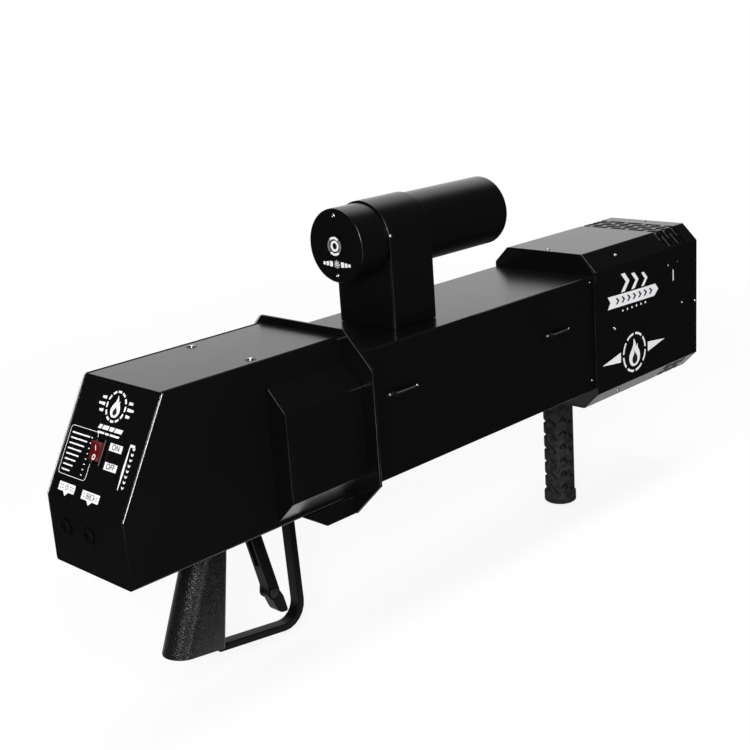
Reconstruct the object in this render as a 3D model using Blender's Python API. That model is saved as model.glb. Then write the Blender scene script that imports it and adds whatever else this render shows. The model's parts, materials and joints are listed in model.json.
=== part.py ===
# A hand-held stage flame machine: a black sheet-metal gun with a pistol grip under its rear housing,
# a front handle under its nozzle housing and a lamp tube on a bracket above.
# Metres. +X points to the muzzle, +Z up. The origin is the centre of the middle body's flat underside.

import math

import bmesh
import bpy
from mathutils import Matrix, Vector

# Clearances
SEAT = 0.0003  # between two pieces that rest on each other
RUN = 0.0005  # round a piece that turns or slides
WELD = 0.000001  # points nearer than this are one

# Sheet metal
SHEET = 0.0015
BEND = 0.002  # outer radius of a folded edge

# Middle body, a square tube
MID_LENGTH = 0.346
MID_WIDTH = 0.124
MID_HEIGHT = 0.123
END_FRAME_LENGTH = 0.012
END_FRAME_WALL = 0.003
CABLE_HOLE_RADIUS = 0.008
WIRE_WINDOW = 0.070  # square window through the collar plate and the front housing's back plate

# Collar plate between the middle body and the rear housing
COLLAR_WIDTH = 0.170
COLLAR_HEIGHT = 0.168
COLLAR_RISE = 0.022  # its top above the middle body's top
COLLAR_CHAMFER = 0.032
COLLAR_THICKNESS = 0.003

# Rear housing
REAR_WIDTH = 0.104
REAR_HEIGHT = 0.145
REAR_RISE = 0.016  # its top above the middle body's top
REAR_TOP_LENGTH = 0.188
PANEL_RUN = 0.049  # how far the sloping panel runs back
PANEL_DROP = 0.089  # how far it drops
POD_LENGTH = 0.088
POD_DEPTH = 0.020
POD_HEIGHT = 0.1178
POD_ABOVE_BOTTOM = 0.0055
POD_WINDOW_MARGIN = 0.012
BELLY_DEPTH = 0.0167  # below the housing's bottom
BELLY_FLAT_LENGTH = 0.034
BELLY_SLOPE_LENGTH = 0.026

# Controls on the rear panel
ROCKER_DOWN_SLOPE = 0.0566
ROCKER_ACROSS = 0.0025
ROCKER_HOLE = (0.0194, 0.0132)
ROCKER_FLANGE = (0.0212, 0.0150)
ROCKER_FLANGE_THICKNESS = 0.0018
ROCKER_BODY_DEPTH = 0.014
ROCKER_WALL = 0.0011
ROCKER_RADIUS = 0.0080
ROCKER_PIVOT_RISE = 0.0015  # over the panel
ROCKER_TIP = 0.0040  # height of each end over the pivot when level
ROCKER_DIP = 0.0026  # height of the middle over the pivot
ROCKER_THROW = math.radians(16)
ROCKER_EDGE = 0.0004
SOCKET_HEIGHT = 0.0335  # above the housing's bottom
SOCKET_SPACING = 0.032
SOCKET_OFFSET = 0.015  # of the pair's middle, to the left
SOCKET_HOLE_RADIUS = 0.0055
SOCKET_FLANGE_RADIUS = 0.0072
SOCKET_FLANGE_THICKNESS = 0.002
SOCKET_DEPTH = 0.014
SOCKET_BORE_RADIUS = 0.0036
SOCKET_BORE_DEPTH = 0.011

# Nozzle housing
FRONT_LENGTH = 0.196
FRONT_WIDTH = 0.132
FRONT_HEIGHT = 0.167
FRONT_RISE = 0.021
FRONT_CHAMFER = 0.018
PLATE_THICKNESS = 0.002
NOZZLE_PLATE_RECESS = 0.068
MUZZLE_FRAME_LENGTH = 0.010
MUZZLE_FRAME_WALL = 0.005
MUZZLE_FRAME_RECESS = 0.001
VENT_ROWS = 5
VENT_PITCH = 0.0085
VENT_WIDTH = 0.0038
VENT_LENGTH = 0.0190
VENT_BRIDGE = 0.0050
VENT_TO_MUZZLE = 0.0235  # from the muzzle edge to the first row's middle
SIDE_SLOT_HEIGHT = 0.0130
SIDE_SLOT_WIDTH = 0.0026
SIDE_SLOT_TO_MUZZLE = 0.049
SIDE_SLOT_RISE = 0.034  # of its middle over the nozzle's axis
SIDE_HOLE_RADIUS = 0.0015
SIDE_HOLE_SPACING = 0.0195
SIDE_HOLE_RISE = 0.047

# Lamp on top
LAMP_TUBE_RADIUS = 0.0335
LAMP_TUBE_WALL = 0.0015
LAMP_TUBE_LENGTH = 0.201
LAMP_AXIS_RISE = 0.0804  # above the middle body's top
LAMP_TUBE_BEHIND_BRACKET = 0.033
BRACKET_LENGTH = 0.055
BRACKET_FROM_COLLAR = 0.079
BRACKET_WALL_DROP = 0.015  # how far under the axis the end walls stop
LAMP_CAP_THICKNESS = 0.003
LAMP_CAP_SPIGOT = 0.010
LAMP_BEZEL_LENGTH = 0.007
LAMP_BEZEL_WALL = 0.004
LAMP_BEZEL_RECESS = 0.001
LENS_THICKNESS = 0.0035
REFLECTOR_DEPTH = 0.034
REFLECTOR_NECK_RADIUS = 0.008
REFLECTOR_WALL = 0.0012
LED_BOARD_THICKNESS = 0.002
LED_RADIUS = 0.004
LED_HEIGHT = 0.0025
HEATSINK_LENGTH = 0.024
HEATSINK_FINS = 5
BUTTON_RADIUS = 0.0058
BUTTON_LENGTH = 0.006
BUTTON_TRAVEL = 0.002
BUTTON_BEZEL_RADIUS = 0.010
BUTTON_BEZEL_HEIGHT = 0.003
BUTTON_BODY_RADIUS = 0.0078
BUTTON_BODY_LENGTH = 0.018

# Pistol grip
GRIP_WIDTH = 0.032
GRIP_WALL = 0.003
GRIP_TOP_LENGTH = 0.0285
GRIP_BOTTOM_LENGTH = 0.0525
GRIP_HEIGHT = 0.1015  # down to the middle of its bottom edge
GRIP_BACK_LEAN = 0.39  # how far the back moves rearwards per unit of height
GRIP_TO_COLLAR = 0.1130  # from the collar plate to the front of the grip's top
GRIP_CORNER = 0.004
GRIP_INNER_CORNER = 0.001
GRIP_EDGE = 0.0015
GRIP_BOTTOM_SLOPE = 0.145

# Trigger guard
GUARD_WIDTH = 0.012
GUARD_THICKNESS = 0.007
GUARD_LEG_TOP_TO_COLLAR = 0.0360
GUARD_LEG_BOTTOM_TO_COLLAR = 0.0317
GUARD_BEND = 0.0185
GUARD_TAB_LENGTH = 0.015
GUARD_TAB_THICKNESS = 0.0035
GUARD_EDGE = 0.0012

# Trigger
TRIGGER_WIDTH = 0.012
TRIGGER_DEPTH = 0.0106
TRIGGER_LEAN = 0.25  # how far the lever runs forward per unit of drop
TRIGGER_TO_COLLAR = 0.0872  # from the collar plate to the pin
TRIGGER_PIN_HEIGHT = 0.016  # over the housing's bottom
TRIGGER_PIN_RADIUS = 0.002
TRIGGER_HUB_RADIUS = 0.007
TRIGGER_HUB_WIDTH = 0.008
TRIGGER_ARM = 0.017
TRIGGER_ARM_WIDTH = 0.006
TRIGGER_CHANNEL_TOP = 0.026  # drop of the channel's ends under the pin
TRIGGER_CHANNEL_END = 0.070
TRIGGER_PULL = math.radians(10)
TRIGGER_BRACKET_LENGTH = 0.040
TRIGGER_BRACKET_HEIGHT = 0.024
SPRING_WIRE_RADIUS = 0.0004
SPRING_COIL_RADIUS = 0.0034
SPRING_TURNS = 2
SPRING_LEG = 0.012
SWITCH_SIZE = (0.014, 0.007, 0.017)
SWITCH_GAP = 0.0015  # from the pulled arm to the switch
PLUNGER_SIZE = (0.0028, 0.003, 0.004)
PLUNGER_REACH = 0.0008
LATCH_PIVOT_DROP = 0.0977  # under the trigger's pin
LATCH_PIVOT_FORWARD = 0.0237
LATCH_HUB_RADIUS = 0.0068
LATCH_PIN_RADIUS = 0.002
LATCH_PIN_HEAD_RADIUS = 0.0046
LATCH_PIN_HEAD_THICKNESS = 0.0008
LATCH_TONGUE_WIDTH = 0.005
LATCH_REACH = 0.0275
LATCH_HEEL_RADIUS = 0.009
LATCH_TIP_RADIUS = 0.0016
LATCH_STEM = 0.007
LATCH_SWING = math.radians(50)

# Front handle
HANDLE_SETBACK = 0.0165  # of its axis from the nozzle housing's back
HANDLE_RADIUS = 0.0163
HANDLE_FLANGE_RADIUS = 0.0176
HANDLE_FLANGE_LENGTH = 0.0125
HANDLE_LENGTH = 0.1212
HANDLE_CORE_RADIUS = 0.011
HANDLE_CORE_WALL = 0.002
HANDLE_END_THICKNESS = 0.005
HANDLE_EDGE = 0.002

# Strap loops on the right side
LOOP_SPACING = 0.2276
LOOP_SETBACK = 0.0046  # of the pair's middle from the body's middle
LOOP_LENGTH = 0.043
LOOP_BAR_LENGTH = 0.024
LOOP_FOOT_LENGTH = 0.008
LOOP_THICKNESS = 0.002
LOOP_HEIGHT = 0.0035
LOOP_GAP = 0.0035
LOOP_ABOVE_BOTTOM = 0.0782

# Inside the rear housing
TRAY_HEIGHT = 0.063  # of its shelf above the housing's bottom
TRAY_LENGTH = 0.148
TRAY_FLANGE = 0.012
TRAY_TO_COLLAR = 0.014
BATTERY_SIZE = (0.126, 0.084, 0.056)
BATTERY_CORNER = 0.004
BATTERY_STRAP_WIDTH = 0.020
BATTERY_STRAP_FOOT = 0.005
BOARD_SIZE = (0.100, 0.070, 0.0016)
BOARD_POST_LENGTH = 0.008
BOARD_POST_RADIUS = 0.003
BOARD_POST_INSET = 0.006
CHIP_SIZES = (0.014, 0.018, 0.012)

# Gas can and its plumbing
CAN_RADIUS = 0.0325
CAN_LENGTH = 0.195
CAN_WALL = 0.0010
CAN_NECK_RADIUS = 0.010
CAN_DOME = 0.012
CAN_NECK_LENGTH = 0.010
CAN_TO_COLLAR = 0.024
CRADLE_THICKNESS = 0.003
CRADLE_CORNER = 0.026
CRADLE_INSET = 0.030  # of each cradle from the can's ends
VALVE_HEAD_RADIUS = 0.012
VALVE_HEAD_LENGTH = 0.014
VALVE_HEAD_TAPER = 0.004
PIPE_RADIUS = 0.003
PIPE_DIP = 0.012
VALVE_SIZE = (0.032, 0.028, 0.030)
VALVE_FROM_BACK_PLATE = 0.030
VALVE_COIL_RADIUS = 0.013
VALVE_COIL_HEIGHT = 0.034
STAND_FOOT = 0.009
NOZZLE_REACH = 0.030  # beyond the nozzle plate
NOZZLE_TIP_RADIUS = 0.006
NOZZLE_BORE_RADIUS = 0.002
NOZZLE_STEM_RADIUS = 0.008
NOZZLE_COLLAR_RADIUS = 0.014
NOZZLE_COLLAR_LENGTH = 0.006
NOZZLE_NUT_LENGTH = 0.008
NOZZLE_TAPER = 0.010
ELECTRODE_SPACING = 0.034
ELECTRODE_RISE = 0.010
CERAMIC_RADIUS = 0.004
CERAMIC_LENGTH = 0.040
CERAMIC_BACK = 0.016  # how much of it is behind the nozzle plate
CERAMIC_COLLAR_LENGTH = 0.005
ELECTRODE_WIRE_RADIUS = 0.0012
ELECTRODE_WIRE_LENGTH = 0.012
COIL_SIZE = (0.046, 0.036, 0.028)
COIL_GAP = 0.010  # from the valve's stand
COIL_CORNER = 0.004

# Places worked out from the sizes
MID_FRONT = MID_LENGTH / 2
MID_REAR = -MID_FRONT
AXIS_HEIGHT = MID_HEIGHT / 2
COLLAR_TOP = MID_HEIGHT + COLLAR_RISE
COLLAR_REAR = MID_REAR - SEAT - COLLAR_THICKNESS
REAR_FRONT = COLLAR_REAR - SEAT
REAR_TOP = MID_HEIGHT + REAR_RISE
REAR_BOTTOM = REAR_TOP - REAR_HEIGHT
REAR_EDGE = REAR_FRONT - REAR_TOP_LENGTH
PANEL_FOOT = REAR_EDGE - PANEL_RUN
FRONT_REAR = MID_FRONT + SEAT
MUZZLE = FRONT_REAR + FRONT_LENGTH
FRONT_TOP = MID_HEIGHT + FRONT_RISE
FRONT_BOTTOM = FRONT_TOP - FRONT_HEIGHT
NOZZLE_PLATE = MUZZLE - NOZZLE_PLATE_RECESS
LAMP_AXIS = MID_HEIGHT + LAMP_AXIS_RISE
BRACKET_REAR = MID_REAR + BRACKET_FROM_COLLAR
BRACKET_FRONT = BRACKET_REAR + BRACKET_LENGTH
LAMP_REAR = BRACKET_REAR - LAMP_TUBE_BEHIND_BRACKET
LAMP_FRONT = LAMP_REAR + LAMP_TUBE_LENGTH
PIN_X = REAR_FRONT - TRIGGER_TO_COLLAR
PIN_Z = REAR_BOTTOM + TRIGGER_PIN_HEIGHT
LATCH_X = PIN_X + LATCH_PIVOT_FORWARD
LATCH_Z = PIN_Z - LATCH_PIVOT_DROP
HANDLE_X = FRONT_REAR + HANDLE_SETBACK
FAR = 1.0  # longer than any piece, for cutters that pass right through


def material(name, colour, metallic, roughness):
    paint = bpy.data.materials.new(name)
    paint.use_nodes = True
    shader = paint.node_tree.nodes["Principled BSDF"]
    shader.inputs["Base Color"].default_value = (*colour, 1)
    shader.inputs["Metallic"].default_value = metallic
    shader.inputs["Roughness"].default_value = roughness
    return paint


# Flat outlines, as lists of points in the plane across an extrusion


def rectangle(width, height, centre=(0, 0)):
    u, v = centre
    a, b = width / 2, height / 2
    return [(u - a, v - b), (u + a, v - b), (u + a, v + b), (u - a, v + b)]


def octagon(width, height, chamfer, centre=(0, 0)):
    u, v = centre
    a, b = width / 2, height / 2
    c = chamfer
    return [
        (u - a + c, v - b),
        (u + a - c, v - b),
        (u + a, v - b + c),
        (u + a, v + b - c),
        (u + a - c, v + b),
        (u - a + c, v + b),
        (u - a, v + b - c),
        (u - a, v - b + c),
    ]


def arc(centre, radius, start, end, steps):
    angles = [start + (end - start) * i / steps for i in range(steps + 1)]
    return [(centre[0] + radius * math.cos(t), centre[1] + radius * math.sin(t)) for t in angles]


def circle(centre, radius, steps):
    return arc(centre, radius, 0, math.tau * (1 - 1 / steps), steps - 1)


def rounded_corner(before, corner, after, radius, steps):
    corner = Vector(corner)
    towards = (Vector(before) - corner).normalized()
    onwards = (Vector(after) - corner).normalized()
    half = towards.angle(onwards) / 2
    if half > math.radians(89):
        return [tuple(corner)]
    middle = corner + (towards + onwards).normalized() * radius / math.sin(half)
    first = corner + towards * radius / math.tan(half)
    last = corner + onwards * radius / math.tan(half)
    start = first - middle
    turn = start.angle_signed(last - middle)
    return [tuple(middle + Matrix.Rotation(-turn * i / steps, 2) @ start) for i in range(steps + 1)]


def rounded(outline, radius, steps=2):
    """The closed outline with every corner rounded."""
    points = []
    for i, corner in enumerate(outline):
        after = outline[(i + 1) % len(outline)]
        points += rounded_corner(outline[i - 1], corner, after, radius, steps)
    return points


def offset_line(path, distance):
    """The open path moved to its left by the distance, with mitred corners."""
    points = [Vector(p) for p in path]
    moved = []
    for i, point in enumerate(points):
        sides = []
        if i > 0:
            sides.append((point - points[i - 1]).normalized())
        if i < len(points) - 1:
            sides.append((points[i + 1] - point).normalized())
        normals = [Vector((-s.y, s.x)) for s in sides]
        mitre = sum(normals, Vector((0, 0))).normalized()
        moved.append(tuple(point + mitre * distance / mitre.dot(normals[0])))
    return moved


def strip(path, thickness):
    """The outline of a bent strip whose middle follows the path."""
    return offset_line(path, thickness / 2) + offset_line(path, -thickness / 2)[::-1]


def folded(path, radius, steps=2):
    """The open path with its inner corners rounded."""
    points = [path[0]]
    for before, corner, after in zip(path, path[1:], path[2:]):
        points += rounded_corner(before, corner, after, radius, steps)
    return points + [path[-1]]


# Solids, as bmeshes in world coordinates


def prism(outline, axis, low, high):
    """The outline pushed along an axis. Its points are the other two coordinates, in X, Y, Z order."""
    place = {
        "X": lambda p, t: (t, p[0], p[1]),
        "Y": lambda p, t: (p[0], t, p[1]),
        "Z": lambda p, t: (p[0], p[1], t),
    }[axis]
    solid = bmesh.new()
    base = solid.faces.new([solid.verts.new(place(p, low)) for p in outline])
    pushed = bmesh.ops.extrude_face_region(solid, geom=[base], use_keep_orig=True)
    moved = [v for v in pushed["geom"] if isinstance(v, bmesh.types.BMVert)]
    step = Vector(place((0, 0), high)) - Vector(place((0, 0), low))
    bmesh.ops.translate(solid, vec=step, verts=moved)
    bmesh.ops.recalc_face_normals(solid, faces=solid.faces)
    return solid


def box(low, high):
    return prism(
        [(low[0], low[1]), (high[0], low[1]), (high[0], high[1]), (low[0], high[1])], "Z", low[2], high[2]
    )


def turned(profile, axis, centre, steps):
    """The closed profile of (distance along the axis, radius) spun round the axis through the centre."""
    solid = bmesh.new()
    corners = [solid.verts.new((radius, 0, along)) for along, radius in profile]
    edges = [solid.edges.new((a, b)) for a, b in zip(corners, corners[1:] + corners[:1])]
    geometry = corners + edges
    bmesh.ops.spin(
        solid, geom=geometry, axis=(0, 0, 1), cent=(0, 0, 0), angle=math.tau, steps=steps, use_merge=True
    )
    bmesh.ops.remove_doubles(solid, verts=solid.verts, dist=WELD)
    bmesh.ops.dissolve_degenerate(solid, edges=solid.edges, dist=WELD)
    loose = [e for e in solid.edges if not e.link_faces]
    bmesh.ops.delete(solid, geom=loose, context="EDGES")
    turn = Vector((0, 0, 1)).rotation_difference(Vector(axis)).to_matrix().to_4x4()
    bmesh.ops.transform(solid, matrix=Matrix.Translation(centre) @ turn, verts=solid.verts)
    bmesh.ops.recalc_face_normals(solid, faces=solid.faces)
    return solid


def lofted(rings):
    """Rings of 3-D points, each joined to the next, with the first and last filled."""
    solid = bmesh.new()
    loops = [[solid.verts.new(p) for p in ring] for ring in rings]
    for low, high in zip(loops, loops[1:]):
        for i in range(len(low)):
            solid.faces.new((low[i - 1], low[i], high[i], high[i - 1]))
    solid.faces.new(loops[0])
    solid.faces.new(loops[-1])
    bmesh.ops.recalc_face_normals(solid, faces=solid.faces)
    return solid


def gathered(solids):
    """Several separate solids in one bmesh, for a cutter that makes many holes."""
    whole = bmesh.new()
    for solid in solids:
        mesh = bpy.data.meshes.new("piece")
        solid.to_mesh(mesh)
        whole.from_mesh(mesh)
        bpy.data.meshes.remove(mesh)
    return whole


# Objects


def place(name, solid, paint, origin=(0, 0, 0)):
    bmesh.ops.translate(solid, vec=-Vector(origin), verts=solid.verts)
    mesh = bpy.data.meshes.new(name)
    solid.to_mesh(mesh)
    solid.free()
    mesh.materials.append(paint)
    mesh.shade_smooth()
    mesh.set_sharp_from_angle(angle=math.radians(35))
    piece = bpy.data.objects.new(name, mesh)
    piece.location = origin
    bpy.context.scene.collection.objects.link(piece)
    return piece


def shape(piece, operation, label, solid):
    """A Boolean on the piece, with its hidden second operand."""
    tool = place(f"{piece.name}_{label}", solid, CUTTER)
    tool.hide_render = True
    tool.display_type = "WIRE"
    modifier = piece.modifiers.new(label, "BOOLEAN")
    modifier.operation = operation
    modifier.object = tool
    modifier.solver = "EXACT"


def cut(piece, label, solid):
    shape(piece, "DIFFERENCE", label, solid)


def add(piece, label, solid):
    shape(piece, "UNION", label, solid)


def keep(piece, label, solid):
    shape(piece, "INTERSECT", label, solid)


def soften(piece, width, segments=2, angle=35):
    modifier = piece.modifiers.new("edges", "BEVEL")
    modifier.width = width
    modifier.segments = segments
    modifier.limit_method = "ANGLE"
    modifier.angle_limit = math.radians(angle)


# Middle body


def middle_body():
    outer = rounded(rectangle(MID_WIDTH, MID_HEIGHT, (0, AXIS_HEIGHT)), BEND)
    inside = rectangle(MID_WIDTH - 2 * SHEET, MID_HEIGHT - 2 * SHEET, (0, AXIS_HEIGHT))
    body = place("middle_body", prism(outer, "X", MID_REAR, MID_FRONT), BLACK)
    cut(body, "hollow", prism(inside, "X", -FAR, FAR))
    cable_hole = circle(((BRACKET_REAR + BRACKET_FRONT) / 2, 0), CABLE_HOLE_RADIUS, 16)
    cut(body, "cable_hole", prism(cable_hole, "Z", AXIS_HEIGHT, FAR))
    size = (MID_WIDTH - 2 * (SHEET + SEAT), MID_HEIGHT - 2 * (SHEET + SEAT))
    window = (size[0] - 2 * END_FRAME_WALL, size[1] - 2 * END_FRAME_WALL)
    for name, low in (("rear_end_frame", MID_REAR), ("front_end_frame", MID_FRONT - END_FRAME_LENGTH)):
        outline = rectangle(*size, (0, AXIS_HEIGHT))
        frame = place(name, prism(outline, "X", low, low + END_FRAME_LENGTH), STEEL)
        cut(frame, "window", prism(rectangle(*window, (0, AXIS_HEIGHT)), "X", -FAR, FAR))


def collar_plate():
    outline = octagon(COLLAR_WIDTH, COLLAR_HEIGHT, COLLAR_CHAMFER, (0, COLLAR_TOP - COLLAR_HEIGHT / 2))
    plate = place("collar_plate", prism(outline, "X", COLLAR_REAR, COLLAR_REAR + COLLAR_THICKNESS), BLACK)
    cut(plate, "window", prism(rectangle(WIRE_WINDOW, WIRE_WINDOW, (0, AXIS_HEIGHT)), "X", -FAR, FAR))


# Rear housing


def panel_point(down, out=0.0):
    """The (x, z) of a point on the sloping panel: down its slope, and out from its face."""
    slope = Vector((-PANEL_RUN, -PANEL_DROP)).normalized()
    face = Vector((-PANEL_DROP, PANEL_RUN)).normalized()
    return Vector((REAR_EDGE, REAR_TOP)) + slope * down + face * out


def rear_housing():
    section = rounded(rectangle(REAR_WIDTH, REAR_HEIGHT, (0, REAR_TOP - REAR_HEIGHT / 2)), BEND)
    side = [
        (REAR_FRONT, REAR_BOTTOM - BEND),
        (REAR_FRONT, REAR_TOP + BEND),
        tuple(panel_point(-BEND)),
        (PANEL_FOOT, REAR_TOP - PANEL_DROP),
        (PANEL_FOOT, REAR_BOTTOM - BEND),
    ]
    shell = place("rear_shell", prism(section, "X", PANEL_FOOT - BEND, REAR_FRONT), BLACK)
    keep(shell, "side_profile", prism(side, "Y", -REAR_WIDTH, REAR_WIDTH))
    inside = rectangle(REAR_WIDTH - 2 * SHEET, REAR_HEIGHT - 2 * SHEET, (0, REAR_TOP - REAR_HEIGHT / 2))
    cut(shell, "hollow", prism(inside, "X", -FAR, FAR))
    margin = POD_WINDOW_MARGIN
    pod_low = REAR_BOTTOM + POD_ABOVE_BOTTOM
    window = [
        (REAR_FRONT - POD_LENGTH + margin, pod_low + POD_DEPTH),
        (REAR_FRONT - margin, pod_low + POD_DEPTH),
        (REAR_FRONT - margin, pod_low + POD_HEIGHT - POD_DEPTH),
        (REAR_FRONT - POD_LENGTH + margin, pod_low + POD_HEIGHT - POD_DEPTH),
    ]
    cut(shell, "side_windows", prism(window, "Y", -REAR_WIDTH, REAR_WIDTH))
    half = TRIGGER_WIDTH / 2 + 2 * RUN
    slot = box(
        (PIN_X - TRIGGER_HUB_RADIUS, -half, REAR_BOTTOM - BEND),
        (PIN_X + 2 * TRIGGER_HUB_RADIUS, half, REAR_BOTTOM + BEND),
    )
    cut(shell, "trigger_slot", slot)


def rear_panel():
    slope_length = math.hypot(PANEL_RUN, PANEL_DROP)
    tuck = SHEET + SEAT
    path = [
        tuple(panel_point(slope_length * tuck / PANEL_DROP)),
        (PANEL_FOOT, REAR_TOP - PANEL_DROP),
        (PANEL_FOOT, REAR_BOTTOM + tuck),
    ]
    outline = path + offset_line(path, SHEET)[::-1]
    half = REAR_WIDTH / 2 - tuck
    panel = place("control_panel", prism(outline, "Y", -half, half), BLACK)
    place_on_slope = slope_frame()
    hole = prism(rectangle(*ROCKER_HOLE), "Z", -BEND * 2, BEND * 2)
    bmesh.ops.transform(hole, matrix=place_on_slope, verts=hole.verts)
    cut(panel, "rocker_hole", hole)
    rings = [circle(centre, SOCKET_HOLE_RADIUS + SEAT, 16) for centre in socket_places()]
    holes = [prism(ring, "X", -FAR, PANEL_FOOT + BEND * 2) for ring in rings]
    cut(panel, "socket_holes", gathered(holes))


def slope_frame():
    """Puts a piece made on the XY plane on the sloping panel: X down the slope, Y across, Z out."""
    slope = Vector((-PANEL_RUN, 0, -PANEL_DROP)).normalized()
    face = Vector((-PANEL_DROP, 0, PANEL_RUN)).normalized()
    across = face.cross(slope)
    x, z = panel_point(ROCKER_DOWN_SLOPE)
    turn = Matrix((slope, across, face)).transposed().to_4x4()
    return Matrix.Translation((x, ROCKER_ACROSS, z)) @ turn


def socket_places():
    z = REAR_BOTTOM + SOCKET_HEIGHT
    return [(SOCKET_OFFSET + side * SOCKET_SPACING / 2, z) for side in (1, -1)]


def power_rocker():
    on_slope = slope_frame()
    flange = prism(rectangle(*ROCKER_FLANGE), "Z", SEAT, SEAT + ROCKER_FLANGE_THICKNESS)
    bmesh.ops.transform(flange, matrix=on_slope, verts=flange.verts)
    bezel = place("rocker_bezel", flange, PLASTIC)
    size = (ROCKER_HOLE[0] - 2 * SEAT, ROCKER_HOLE[1] - 2 * SEAT)
    body = prism(rectangle(*size), "Z", -ROCKER_BODY_DEPTH, SEAT + ROCKER_FLANGE_THICKNESS / 2)
    bmesh.ops.transform(body, matrix=on_slope, verts=body.verts)
    add(bezel, "body", body)
    well_size = (size[0] - 2 * ROCKER_WALL, size[1] - 2 * ROCKER_WALL)
    well = prism(rectangle(*well_size), "Z", -ROCKER_RADIUS, FAR)
    bmesh.ops.transform(well, matrix=on_slope, verts=well.verts)
    cut(bezel, "well", well)

    tip = math.asin(ROCKER_TIP / ROCKER_RADIUS)
    skirt = math.radians(-32)
    end = arc((0, 0), ROCKER_RADIUS, skirt, tip, 4)
    outline = end + [(0, ROCKER_DIP)] + [(-u, v) for u, v in end[::-1]]
    half = well_size[1] / 2 - RUN
    rocker = prism(outline, "Y", -half, half)
    pivot = on_slope @ Matrix.Translation((0, 0, ROCKER_PIVOT_RISE))
    tilted = pivot @ Matrix.Rotation(ROCKER_THROW / 2, 4, "Y")
    bmesh.ops.transform(rocker, matrix=tilted, verts=rocker.verts)
    piece = place("power_rocker", rocker, RED, pivot.translation)
    soften(piece, ROCKER_EDGE)


def sockets():
    for name, (y, z) in zip(("power_socket", "charge_socket"), socket_places()):
        profile = [
            (SEAT, SOCKET_HOLE_RADIUS),
            (SEAT, SOCKET_FLANGE_RADIUS),
            (SEAT + SOCKET_FLANGE_THICKNESS, SOCKET_FLANGE_RADIUS - SOCKET_FLANGE_THICKNESS / 4),
            (SEAT + SOCKET_FLANGE_THICKNESS, SOCKET_BORE_RADIUS),
            (SEAT + SOCKET_FLANGE_THICKNESS - SOCKET_BORE_DEPTH, SOCKET_BORE_RADIUS),
            (SEAT + SOCKET_FLANGE_THICKNESS - SOCKET_BORE_DEPTH, 0),
            (-SOCKET_DEPTH, 0),
            (-SOCKET_DEPTH, SOCKET_HOLE_RADIUS),
        ]
        place(name, turned(profile, (-1, 0, 0), (PANEL_FOOT, y, z), 16), PLASTIC)


def pods():
    low = REAR_BOTTOM + POD_ABOVE_BOTTOM
    high = low + POD_HEIGHT
    wall = REAR_WIDTH / 2 + SEAT
    for name, side in (("left_pod", 1), ("right_pod", -1)):
        outer = [
            (wall, low),
            (wall + POD_DEPTH, low + POD_DEPTH),
            (wall + POD_DEPTH, high - POD_DEPTH),
            (wall, high),
        ]
        inner = [(wall - BEND, low + SHEET - BEND)] + offset_line(outer, SHEET)[1:3]
        inner.append((wall - BEND, high - SHEET + BEND))
        outer = [outer[0]] + folded(outer, BEND)[1:-1] + [outer[-1]]
        outer = [(side * y, z) for y, z in outer]
        inner = [(side * y, z) for y, z in inner]
        pod = place(name, prism(outer, "X", REAR_FRONT - POD_LENGTH, REAR_FRONT), BLACK)
        cut(pod, "hollow", prism(inner, "X", REAR_FRONT - POD_LENGTH + SHEET, FAR))


def belly_outline(drop=0.0):
    rear = REAR_FRONT - BELLY_FLAT_LENGTH
    top = REAR_BOTTOM - SEAT
    low = top - BELLY_DEPTH - drop
    return [(REAR_FRONT, top), (rear - BELLY_SLOPE_LENGTH, top - drop), (rear, low), (REAR_FRONT, low)]


def belly_cover():
    half = REAR_WIDTH / 2
    belly = place("belly_cover", prism(belly_outline(), "Y", -half, half), BLACK)
    outer = belly_outline()
    inner = offset_line(outer[1:], SHEET)
    inner[0] = (inner[0][0] - BEND, inner[0][1] + BEND * BELLY_DEPTH / BELLY_SLOPE_LENGTH)
    inner[2] = (REAR_FRONT + BEND, inner[2][1])
    top = REAR_BOTTOM + 2 * BEND
    inner = [inner[0], inner[1], inner[2], (REAR_FRONT + BEND, top), (inner[0][0], top)]
    cut(belly, "hollow", prism(inner, "Y", SHEET - half, half - SHEET))


# Nozzle housing


def front_octagon(inset=0.0):
    """The nozzle housing's section, moved in by the inset on every side."""
    chamfer = FRONT_CHAMFER - inset * (2 - math.sqrt(2))
    centre = (0, FRONT_TOP - FRONT_HEIGHT / 2)
    return octagon(FRONT_WIDTH - 2 * inset, FRONT_HEIGHT - 2 * inset, chamfer, centre)


def vent_cutters():
    """Slots in rows across the top and bottom and down the chamfers, staggered as brickwork is."""
    flat = FRONT_WIDTH - 2 * FRONT_CHAMFER
    slant = FRONT_CHAMFER * math.sqrt(2)
    reach = flat / 2 + slant
    step = VENT_LENGTH + VENT_BRIDGE
    middle = FRONT_TOP - FRONT_HEIGHT / 2
    cutters = []
    for row in range(VENT_ROWS):
        x = MUZZLE - VENT_TO_MUZZLE - row * VENT_PITCH
        shift = 0.5 * (row % 2)
        count = math.ceil(reach / step) + 1
        for i in range(-count, count + 1):
            low = max((i + shift) * step - VENT_LENGTH / 2, -reach + VENT_BRIDGE / 2)
            high = min((i + shift) * step + VENT_LENGTH / 2, reach - VENT_BRIDGE / 2)
            if high - low < VENT_WIDTH:
                continue
            cutters += slot_over_fold(x, low, high, flat / 2, middle)
    return gathered(cutters)


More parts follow.
